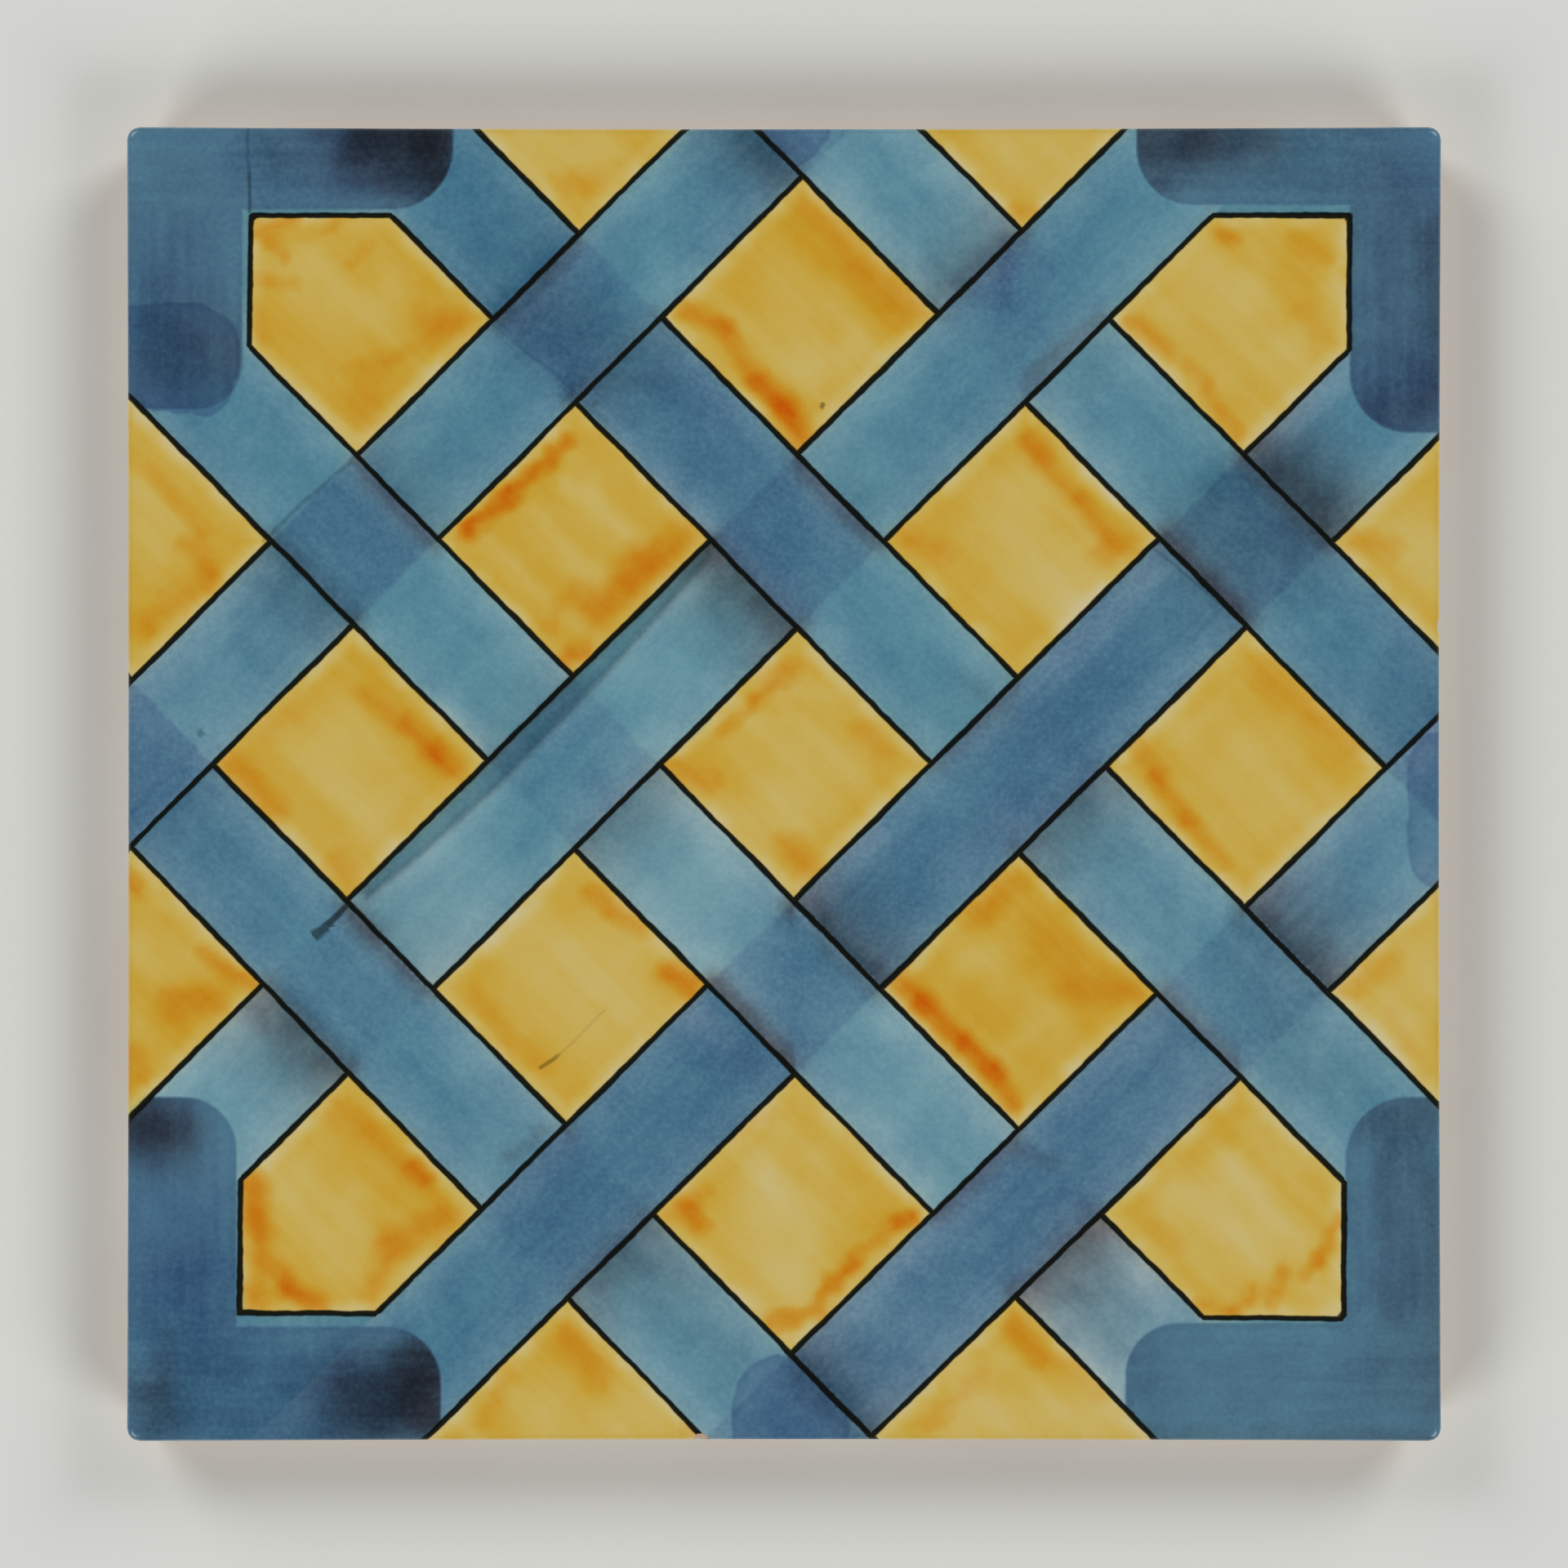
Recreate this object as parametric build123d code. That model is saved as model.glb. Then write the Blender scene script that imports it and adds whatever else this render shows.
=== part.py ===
from build123d import *
import math
import os

# A hand-pressed clay tile, fired in one piece with the glaze on its face.
# The painted face looks up along +Z, and its upper edge in a front view is at +Y.
# The lands of the keyed back lie on the XY plane, and the origin is the middle of the back.
# All sizes are in millimetres.

# Plan of the face
side_length = 200.0      # from corner to corner along one side
corner_radius = 2.0      # where two sides meet, seen from above
near_bow = 0.30          # how far the drying clay drew in the middle of each side
far_bow = 0.36
left_bow = 0.24
right_bow = 0.32

# Section through the tile
thickness = 12.0         # from the lands of the back to the highest point of the face
edge_band = 3.2          # upright top of each side, which the glaze runs down
undercut = 1.1           # how far the foot of a side lies inside its top
face_crown = 0.5         # how much higher the face is in its middle than at its corners
glaze_roll = 1.2         # radius of the rim between the face and a side
back_arris = 0.6         # radius round the edge of the back

# Keying grooves combed along the back, in pairs on both sides of a middle land
groove_width = 5.0
groove_depth = 1.2
groove_pitch = 18.0
groove_margin = 14.0     # plain clay left between a groove and the sides
lift_radius = 45.0       # arc on which the comb left the clay at a groove's ends

# A rounded edge stays inside the walls that carry it.
wall_share = 0.8
rim_radius = min(glaze_roll, wall_share * corner_radius, wall_share * edge_band)
foot_side = side_length - 2 * undercut
foot_height = thickness - edge_band
half_diagonal = side_length / math.sqrt(2)
crown_reach = 0.6        # half the width of the surface that cuts the face, as a share of a side


def bowed_square(side):
    """A square face with rounded corners, each side drawn in by its own bow."""
    half = side / 2
    near = ThreePointArc((-half, -half), (0, -half + near_bow), (half, -half))
    right = ThreePointArc((half, -half), (half - right_bow, 0), (half, half))
    far = ThreePointArc((half, half), (0, half - far_bow), (-half, half))
    left = ThreePointArc((-half, half), (-half + left_bow, 0), (-half, -half))
    square = make_face([near, right, far, left])
    return fillet(square.vertices(), corner_radius)


def pressed_slab():
    """Sides that lean out from the foot, then an upright band up to the face."""
    foot = bowed_square(foot_side)
    shoulder = Pos(0, 0, foot_height) * bowed_square(side_length)
    leaning_part = loft([foot, shoulder], ruled=True)
    upright_part = extrude(shoulder, amount=edge_band, dir=(0, 0, 1))
    return leaning_part + upright_part


def with_crowned_face(slab):
    """The flat top is cut along a shallow paraboloid, so that the corners lie lower."""
    reach = crown_reach * side_length
    fall = face_crown * (reach / half_diagonal) ** 2
    # Three control values of a squared length, which make a parabola exactly.
    steps = ((-reach, fall), (0, -fall), (reach, fall))
    net = [[(x, y, thickness - fall_x - fall_y) for y, fall_y in steps] for x, fall_x in steps]
    crown = Face.make_bezier_surface(net)
    return slab.split(crown, keep=Keep.ALL).solids().sort_by(Axis.Z)[0]


def with_rounded_rims(slab):
    """The rim of the face is rounded by its glaze, and the edge of the back by the mould."""
    rim = slab.faces().filter_by(GeomType.BEZIER).edges()
    slab = fillet(rim, rim_radius)
    foot = slab.faces().sort_by(Axis.Z)[0].edges()
    return fillet(foot, back_arris)


def groove_left_by_one_tooth():
    """A round-bottomed channel along Y that rises out of the clay at both ends."""
    tooth_radius = (groove_width**2 / 4 + groove_depth**2) / (2 * groove_depth)
    axis_height = groove_depth - tooth_radius
    lift_length = math.sqrt(lift_radius**2 - (lift_radius - groove_depth) ** 2)
    straight_end = side_length / 2 - groove_margin - lift_length
    clear_of_clay = 1.5 * groove_depth
    lift_angle = math.degrees(math.acos(1 - clear_of_clay / lift_radius))
    straight = Line((-straight_end, axis_height), (straight_end, axis_height))
    far_lift = JernArc(straight @ 1, (1, 0), lift_radius, -lift_angle)
    near_lift = JernArc(straight @ 0, (-1, 0), lift_radius, lift_angle)
    path = Plane.YZ * Wire([near_lift, straight, far_lift])
    tooth = Plane(origin=path @ 0, z_dir=path % 0) * Circle(tooth_radius)
    return sweep(tooth, path=path)


def with_combed_back(slab):
    """Pairs of grooves to the left and right of the middle land, as many as fit."""
    room = side_length / 2 - groove_margin - groove_width / 2
    pairs = int(room / groove_pitch + 0.5)
    groove = groove_left_by_one_tooth()
    for place in GridLocations(groove_pitch, 0, 2 * pairs, 1):
        slab -= place * groove
    return slab


tile = with_combed_back(with_rounded_rims(with_crowned_face(pressed_slab())))

os.makedirs("parts", exist_ok=True)
export_step(tile, "parts/tile.step")
print("tile volume", round(tile.volume), "mm3, box", tile.bounding_box().size)
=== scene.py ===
"""A hand-pressed clay tile with a painted lattice under its glaze, lying face up.

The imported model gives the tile's place and size. This file builds the tile that is seen: the same
slab with the relief that hands, comb and kiln left in it, and with the painting on its face.
Lengths are in millimetres until the mesh is finished, which is then written in metres.
"""

import logging
import math
from dataclasses import dataclass, field
from enum import Enum

import bmesh
import bpy
import numpy as np
from mathutils import Matrix, Vector, noise


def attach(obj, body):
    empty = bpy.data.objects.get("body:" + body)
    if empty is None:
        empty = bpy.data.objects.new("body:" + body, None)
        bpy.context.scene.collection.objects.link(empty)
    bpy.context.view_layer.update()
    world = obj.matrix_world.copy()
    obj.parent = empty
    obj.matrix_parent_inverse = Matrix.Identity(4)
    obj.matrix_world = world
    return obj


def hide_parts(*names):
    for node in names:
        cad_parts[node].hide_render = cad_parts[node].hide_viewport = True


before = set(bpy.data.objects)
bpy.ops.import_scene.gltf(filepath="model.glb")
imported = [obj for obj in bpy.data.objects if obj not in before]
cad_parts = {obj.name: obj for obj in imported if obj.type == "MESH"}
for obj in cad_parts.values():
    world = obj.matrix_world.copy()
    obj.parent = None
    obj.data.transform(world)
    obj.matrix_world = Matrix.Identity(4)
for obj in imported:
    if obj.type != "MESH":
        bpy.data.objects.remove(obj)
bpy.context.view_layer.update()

log = logging.getLogger("clay_tile")

METRES = 0.001
RIGHT_ANGLE = math.pi / 2
ROOT_TWO = math.sqrt(2.0)
FAR_OFF = 99.0


def smooth_step(low: float, high: float, value: np.ndarray) -> np.ndarray:
    """A soft switch from nought to one.

    Args:
        low: where it starts to rise, or to fall if it is more than high.
        high: where it reaches one.
        value: the numbers to switch on.

    Returns:
        Shares from nought to one.
    """
    share = np.clip((value - low) / (high - low), 0.0, 1.0)
    return share * share * (3.0 - 2.0 * share)


@dataclass(frozen=True)
class Wave:
    """One size of unevenness in the clay or in the paint, and the seed that places it."""

    length: float
    seed: float

    def at(self, points: np.ndarray) -> np.ndarray:
        """Reads the unevenness at each place.

        Args:
            points: places, one row of x, y and z each.

        Returns:
            Numbers from about minus one to one.
        """
        shift = Vector((self.seed, -self.seed, 2.0 * self.seed))
        rows = (points / self.length).tolist()
        return np.array([noise.noise(Vector(row) + shift) for row in rows])

    def hollows(self, points: np.ndarray) -> np.ndarray:
        """The same unevenness, from about nought to one."""
        return 0.5 + 0.5 * self.at(points)


@dataclass(frozen=True)
class TileSizes:
    """Sizes of the slab, in millimetres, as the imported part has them."""

    side: float = 200.0
    corner_radius: float = 2.0
    near_bow: float = 0.30
    far_bow: float = 0.36
    left_bow: float = 0.24
    right_bow: float = 0.32
    thickness: float = 12.0
    edge_band: float = 3.2
    undercut: float = 1.1
    face_crown: float = 0.5
    rim_radius: float = 1.2
    back_arris: float = 0.6

    def face_height(self, points: np.ndarray) -> np.ndarray:
        """Height of the crowned face above the floor at each x and y."""
        half_diagonal = self.side / ROOT_TWO
        return self.thickness - self.face_crown * (points**2).sum(axis=1) / half_diagonal**2

    def side_reach(self, height: float) -> float:
        """How far a side stands out from the edge of the face at a height.

        Args:
            height: the height above the floor.

        Returns:
            The reach in millimetres.
        """
        shoulder = self.thickness - self.edge_band
        if height >= shoulder:
            return self.rim_radius
        return self.rim_radius - self.undercut * (1.0 - height / shoulder)

    def edge_of_face(self, squares: np.ndarray) -> np.ndarray:
        """Lays a square grid on the face.

        Args:
            squares: places on a square from minus one to one both ways.

        Returns:
            Places in plan, with the sides bowed in and the corners rounded.
        """
        across, along = squares[:, 0], squares[:, 1]
        x_bow = np.where(across > 0.0, self.right_bow, self.left_bow) * (1.0 - along**2)
        y_bow = np.where(along > 0.0, self.far_bow, self.near_bow) * (1.0 - across**2)
        reach = self.side / 2.0 - self.rim_radius
        half = np.stack([reach - x_bow, reach - y_bow], axis=1)
        plan = squares * half
        radius = self.corner_radius - self.rim_radius
        past = np.abs(plan) - (half - radius)
        in_corner = (past > 0.0).all(axis=1)
        length = np.maximum(np.hypot(past[:, 0], past[:, 1]), 1e-9)
        share = np.where(in_corner, past.max(axis=1) / length, 1.0)[:, None]
        rounded = np.sign(plan) * (half - radius + past * share)
        return np.where(in_corner[:, None], rounded, plan)


@dataclass(frozen=True)
class Chip:
    """A flake knocked off the rim, which shows the clay."""

    x: float
    y: float
    z: float
    radius: float
    depth: float


@dataclass
class CombedBack:
    """The back, with the grooves that a comb drew through the wet clay."""

    sizes: TileSizes
    groove_width: float = 5.0
    groove_depth: float = 1.2
    groove_pitch: float = 18.0
    groove_margin: float = 14.0
    lift_radius: float = 45.0
    grooves: int = 10
    border: float = 4.0
    lines_in_groove: int = 9
    lines_on_land: int = 3
    lines_in_lift: int = 15
    lines_in_run: int = 34
    lines_in_margin: int = 3
    lip_crowding: float = 0.35

    @property
    def tooth_radius(self) -> float:
        """Radius of the comb's round tooth."""
        return (self.groove_width**2 / 4.0 + self.groove_depth**2) / (2.0 * self.groove_depth)

    @property
    def lift_length(self) -> float:
        """How long a groove takes to run out of the clay."""
        rest = self.lift_radius - self.groove_depth
        return math.sqrt(self.lift_radius**2 - rest**2)

    @property
    def straight_end(self) -> float:
        """Where the tooth starts to lift, from the middle of the back."""
        return self.sizes.side / 2.0 - self.groove_margin - self.lift_length

    @property
    def reach(self) -> float:
        """Half the width of the grid that holds the grooves."""
        return self.sizes.side / 2.0 - self.sizes.undercut - self.border

    def groove_places(self) -> np.ndarray:
        """The middle of each groove, along X."""
        return (np.arange(self.grooves) - (self.grooves - 1) / 2.0) * self.groove_pitch

    def depth(self, x: np.ndarray, y: np.ndarray) -> np.ndarray:
        """How deep the comb went at each place, nought on the lands.

        Args:
            x: places along X.
            y: places along Y.

        Returns:
            Depths of the grooves.
        """
        nearest = np.abs(x[:, None] - self.groove_places()[None, :]).min(axis=1)
        bottom = np.sqrt(np.maximum(self.tooth_radius**2 - nearest**2, 0.0)) - self.tooth_radius
        past = np.maximum(np.abs(y) - self.straight_end, 0.0)
        within = np.maximum(self.lift_radius**2 - past**2, 0.0)
        lift = self.lift_radius - np.sqrt(within)
        return np.maximum(bottom + self.groove_depth - lift, 0.0)

    def lines_across(self) -> np.ndarray:
        """Places of the grid's lines along X, close together in each groove.

        Returns:
            The places, from left to right.
        """
        half = self.groove_width / 2.0
        turn = np.linspace(-1.0, 1.0, self.lines_in_groove)
        even = 1.0 - self.lip_crowding
        in_groove = half * np.sin(turn * RIGHT_ANGLE) * self.lip_crowding + half * turn * even
        land = np.linspace(half, self.groove_pitch - half, self.lines_on_land + 2)[1:-1]
        places = self.groove_places()
        lines = [places[:, None] + in_groove[None, :], places[:-1, None] + land[None, :]]
        outer = np.linspace(places[-1] + half, self.reach, self.lines_on_land + 2)[1:]
        return np.sort(np.concatenate([*(part.ravel() for part in lines), outer, -outer]))

    def lines_along(self) -> np.ndarray:
        """Places of the grid's lines along Y, close together where the grooves lift.

        Returns:
            The places, from near to far.
        """
        run = np.linspace(0.0, self.straight_end, self.lines_in_run // 2 + 1)
        end = self.straight_end + self.lift_length
        lift = np.linspace(self.straight_end, end, self.lines_in_lift + 1)[1:]
        margin = np.linspace(end, self.reach, self.lines_in_margin + 1)[1:]
        half = np.concatenate([run, lift, margin])
        return np.concatenate([-half[:0:-1], half])

    def add_to(self, mesh: bmesh.types.BMesh, outward: bmesh.types.BMLayerItem) -> list:
        """Lays the combed grid on the floor.

        Args:
            mesh: the tile's mesh.
            outward: layer that keeps which way is out of the clay.

        Returns:
            The edges round the grid.
        """
        across, along = self.lines_across(), self.lines_along()
        made = bmesh.ops.create_grid(
            mesh, x_segments=len(across) - 1, y_segments=len(along) - 1, size=1.0
        )
        verts = made["verts"]
        unit = np.array([v.co[:2] for v in verts]) / 2.0 + 0.5
        x = across[np.rint(unit[:, 0] * (len(across) - 1)).astype(int)]
        y = along[np.rint(unit[:, 1] * (len(along) - 1)).astype(int)]
        height = self.depth(x, y)
        for vert, place in zip(verts, np.stack([x, y, height], axis=1), strict=True):
            vert.co = place
            vert[outward] = (0.0, 0.0, -1.0)
        faces = list({face for vert in verts for face in vert.link_faces})
        bmesh.ops.reverse_faces(mesh, faces=faces)
        return [e for e in {e for v in verts for e in v.link_edges} if e.is_boundary]


@dataclass(frozen=True)
class ClayMarks:
    """How deep hands, press and kiln left their marks, in millimetres, by their place and size."""

    face_slow: float = 0.11
    face_medium: float = 0.035
    face_ripple: float = 0.010
    rim_fall: float = 0.05
    bare_drag: float = 0.16
    bare_small: float = 0.14
    bare_grit: float = 0.07
    bare_slow: float = 0.10
    glazed_side: float = 0.03
    back_slow: float = 0.10
    back_small: float = 0.07
    back_grit: float = 0.05


@dataclass
class PressedSlab:
    """The slab of clay: face, rim, sides and back in one closed skin."""

    sizes: TileSizes
    back: CombedBack
    face_lines: int = 252
    crowding: float = 0.0125
    crowding_power: int = 61
    rim_rows: int = 5
    side_heights: tuple[float, ...] = (
        10.1, 9.5, 8.9, 8.3, 7.7, 7.0, 6.2, 5.2, 4.2, 3.2, 2.2, 1.3,
    )
    arris_rows: int = 3
    glaze_edge: float = 8.7
    glaze_sag: float = 1.1
    glaze_ripple: float = 0.45
    glaze_step: float = 0.20
    glaze_lip: float = 0.35
    drip_length: float = 2.2
    drip_levels: tuple[float, float] = (0.28, 0.62)
    rim_fall_reach: tuple[float, float] = (94.0, 98.5)
    facing: tuple[float, float] = (0.3, 0.9)
    sharp_angle: float = 38.0
    marks: ClayMarks = ClayMarks()
    slow: Wave = Wave(52.0, 1.7)
    medium: Wave = Wave(17.0, 5.3)
    ripple: Wave = Wave(7.5, 8.3)
    small: Wave = Wave(3.2, 9.1)
    grit: Wave = Wave(1.1, 4.4)
    drag: Wave = Wave(1.3, 6.6)
    drag_squeeze: float = 0.06
    long_sags: Wave = Wave(24.0, 3.1)
    short_sags: Wave = Wave(5.5, 7.7)
    drips: Wave = Wave(8.5, 12.4)
    chip_raggedness: float = 0.35
    chip_reach: float = 1.3
    chips: tuple[Chip, ...] = (
        Chip(-12.6, -99.7, 11.4, 1.2, 0.35),
        Chip(99.6, 24.0, 10.6, 1.0, 0.35),
        Chip(98.9, -99.0, 1.0, 2.6, 0.80),
        Chip(-47.0, 99.0, 0.6, 2.2, 0.60),
    )
    glaze_margin: np.ndarray = field(default_factory=lambda: np.zeros(0))
    chipped: np.ndarray = field(default_factory=lambda: np.zeros(0))

    def add_face(self, mesh: bmesh.types.BMesh, outward: bmesh.types.BMLayerItem) -> list:
        """Lays the grid of the face, whose lines crowd together beside the rim.

        Args:
            mesh: the tile's mesh.
            outward: layer that keeps which way is out of the clay.

        Returns:
            The edges round the face.
        """
        count = self.face_lines - 1
        made = bmesh.ops.create_grid(mesh, x_segments=count, y_segments=count, size=1.0)
        verts = made["verts"]
        flat = np.array([v.co[:2] for v in verts])
        crowded = (1.0 + self.crowding) * flat - self.crowding * flat**self.crowding_power
        plan = self.sizes.edge_of_face(crowded)
        height = self.sizes.face_height(plan)
        for vert, (x, y), z in zip(verts, plan, height, strict=True):
            vert.co = (x, y, z)
            vert[outward] = (0.0, 0.0, 1.0)
        return [e for e in mesh.edges if e.is_boundary]

    def note_border(
        self,
        ring: list,
        start: bmesh.types.BMLayerItem,
        leaning: bmesh.types.BMLayerItem,
    ) -> None:
        """Keeps on each vertex of the face's edge where it is and which way its side faces.

        Args:
            ring: the edges round the face.
            start: layer for the place, which the rows below copy.
            leaning: layer for the direction, level and outward.
        """
        on_ring = set(ring)
        for vert in {v for e in ring for v in e.verts}:
            before, after = (e.other_vert(vert).co for e in vert.link_edges if e in on_ring)
            run = after - before
            out = Vector((run.y, -run.x, 0.0)).normalized()
            if out.dot(Vector((vert.co.x, vert.co.y, 0.0))) < 0.0:
                out.negate()
            vert[start] = vert.co
            vert[leaning] = out

    def rows(self) -> list[tuple[float, float, float]]:
        """The rows below the face, each as reach outward, height, and how level it faces.

        A height above the shoulder of the rim is counted down from the edge of the face.

        Returns:
            The rows, from the rim down to the arris of the back.
        """
        sizes = self.sizes
        rows = []
        for step in range(1, self.rim_rows + 1):
            turn = RIGHT_ANGLE * step / self.rim_rows
            drop = sizes.rim_radius * (1.0 - math.cos(turn))
            rows.append((sizes.rim_radius * math.sin(turn), -drop, turn))
        rows += [(sizes.side_reach(z), z, RIGHT_ANGLE) for z in self.side_heights]
        foot = sizes.side_reach(0.0)
        for step in range(self.arris_rows + 1):
            turn = RIGHT_ANGLE * step / self.arris_rows
            inset = sizes.back_arris * (1.0 - math.cos(turn))
            height = sizes.back_arris * (1.0 - math.sin(turn))
            rows.append((foot - inset, max(height, 1e-6), RIGHT_ANGLE + turn))
        return rows

    def add_sides(
        self, mesh: bmesh.types.BMesh, outward: bmesh.types.BMLayerItem, ring: list
    ) -> list:
        """Extrudes the edge of the face row by row, round the rim and down to the floor.

        Args:
            mesh: the tile's mesh.
            outward: layer that keeps which way is out of the clay.
            ring: the edges round the face.

        Returns:
            The edges of the lowest row.
        """
        start = mesh.verts.layers.float_vector.new("start")
        leaning = mesh.verts.layers.float_vector.new("leaning")
        self.note_border(ring, start, leaning)
        for reach, height, turn in self.rows():
            made = bmesh.ops.extrude_edge_only(mesh, edges=ring)["geom"]
            ring = [g for g in made if isinstance(g, bmesh.types.BMEdge) and g.is_boundary]
            for vert in {v for e in ring for v in e.verts}:
                out = vert[leaning]
                place = vert[start] + out * reach
                place.z = vert[start].z + height if height <= 0.0 else height
                vert.co = place
                vert[outward] = out * math.sin(turn) + Vector((0.0, 0.0, math.cos(turn)))
        return ring

    def glaze_line(self, points: np.ndarray) -> np.ndarray:
        """Height at which the glaze ends on the sides, with its sags and drips.

        Args:
            points: places on the slab.

        Returns:
            The height at each place.
        """
        level = points * np.array([1.0, 1.0, 0.0])
        sags = self.glaze_sag * self.long_sags.at(level)
        ripples = self.glaze_ripple * self.short_sags.at(level)
        drips = self.drip_length * smooth_step(*self.drip_levels, self.drips.at(level))
        return self.glaze_edge - sags - ripples - drips

    def relief(self, points: np.ndarray, outward: np.ndarray) -> np.ndarray:
        """How far each point lies inside the plain slab.

        Args:
            points: places on the slab.
            outward: directions out of the clay.

        Returns:
            Depths, none of them below nought.
        """
        marks = self.marks
        start, whole = self.facing
        on_face = smooth_step(start, whole, outward[:, 2])
        on_back = smooth_step(-start, -whole, outward[:, 2])
        on_side = 1.0 - on_face - on_back
        slow, small, grit = (wave.hollows(points) for wave in (self.slow, self.small, self.grit))
        drag = self.drag.hollows(points * np.array([self.drag_squeeze, self.drag_squeeze, 1.0]))
        fall = smooth_step(*self.rim_fall_reach, np.abs(points[:, :2]).max(axis=1))
        face = marks.face_slow * slow + marks.face_medium * self.medium.hollows(points)
        face = face + marks.face_ripple * self.ripple.hollows(points) + marks.rim_fall * fall
        bare = self.glaze_step + marks.bare_drag * drag + marks.bare_small * small
        bare = bare + marks.bare_grit * grit + marks.bare_slow * slow
        glazed = smooth_step(-self.glaze_lip, self.glaze_lip, self.glaze_margin)
        side = bare * (1.0 - glazed) + marks.glazed_side * (slow + small) * glazed
        back = marks.back_slow * slow + marks.back_small * small + marks.back_grit * grit
        back = back - back[on_back > 0.9].min()
        depth = face * on_face + side * on_side + back * on_back
        return np.maximum(depth + self.knock_chips(points, small), 0.0)

    def knock_chips(self, points: np.ndarray, small: np.ndarray) -> np.ndarray:
        """Knocks the chips off the rim and the foot, and keeps where they show the clay.

        Args:
            points: places on the slab.
            small: small unevenness, which makes the chips ragged.

        Returns:
            Depths of the chips, nought beside them.
        """
        depth, self.chipped = np.zeros(len(points)), np.zeros(len(points))
        for chip in self.chips:
            offset = points - np.array([chip.x, chip.y, chip.z])
            distance = np.sqrt((offset**2).sum(axis=1)) / chip.radius
            distance = distance + self.chip_raggedness * (small - 0.5)
            depth = depth + chip.depth * np.clip(1.0 - distance**2, 0.0, 1.0)
            self.chipped = np.maximum(self.chipped, np.clip(self.chip_reach - distance, 0.0, 1.0))
        return depth

    def build(self) -> bpy.types.Mesh:
        """Builds the closed slab with its relief, in metres.

        Returns:
            The tile's mesh.
        """
        mesh = bmesh.new()
        outward = mesh.verts.layers.float_vector.new("outward")
        face_edge = self.add_face(mesh, outward)
        lowest = self.add_sides(mesh, outward, face_edge)
        back_edge = self.back.add_to(mesh, outward)
        bmesh.ops.bridge_loops(mesh, edges=lowest + back_edge)
        bmesh.ops.recalc_face_normals(mesh, faces=mesh.faces[:])
        points = np.array([v.co[:] for v in mesh.verts])
        directions = np.array([v[outward][:] for v in mesh.verts])
        self.glaze_margin = points[:, 2] - self.glaze_line(points)
        moved = points - directions * self.relief(points, directions)[:, None]
        moved[:, 2] = np.maximum(moved[:, 2], 0.0)
        for vert, place in zip(mesh.verts, moved, strict=True):
            vert.co = place
        for face in mesh.faces:
            face.smooth = True
        open_edges = sum(1 for e in mesh.edges if not e.is_manifold)
        volume = mesh.calc_volume()
        log.info("slab: %d faces, %d open edges, %.0f mm3", len(mesh.faces), open_edges, volume)
        bmesh.ops.transform(mesh, matrix=Matrix.Scale(METRES, 4), verts=mesh.verts)
        data = bpy.data.meshes.new("glazed_tile")
        mesh.to_mesh(data)
        mesh.free()
        data.set_sharp_from_angle(angle=math.radians(self.sharp_angle))
        return data


Coat = tuple[float, float, float]
Mark = tuple[float, float, float, float, float, float]


class Course(Enum):
    """Which way a painted band runs across the tile."""

    RISING = "rising"
    FALLING = "falling"


@dataclass(frozen=True)
class Crossing:
    """Two bands that cross, and what the brushes left there.

    The column and row count from the middle of the lattice, along X and along Y. The shares are
    the second coat where the bands overlap, and the brown-black shading of the lower band to the
    left and right of the upper one, and of the upper band along its own left and right outline.
    """

    column: int
    row: int
    overlap: float
    left_dive: float = 0.0
    right_dive: float = 0.0
    left_edge: float = 0.0
    right_edge: float = 0.0


@dataclass(frozen=True)
class DrawnLine:
    """An outline of a band, and how far the liner strayed from the even lattice.

    The level counts pitches across the bands from the middle of the lattice.
    """

    level: float
    stray_at_start: float
    stray_at_end: float


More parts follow.
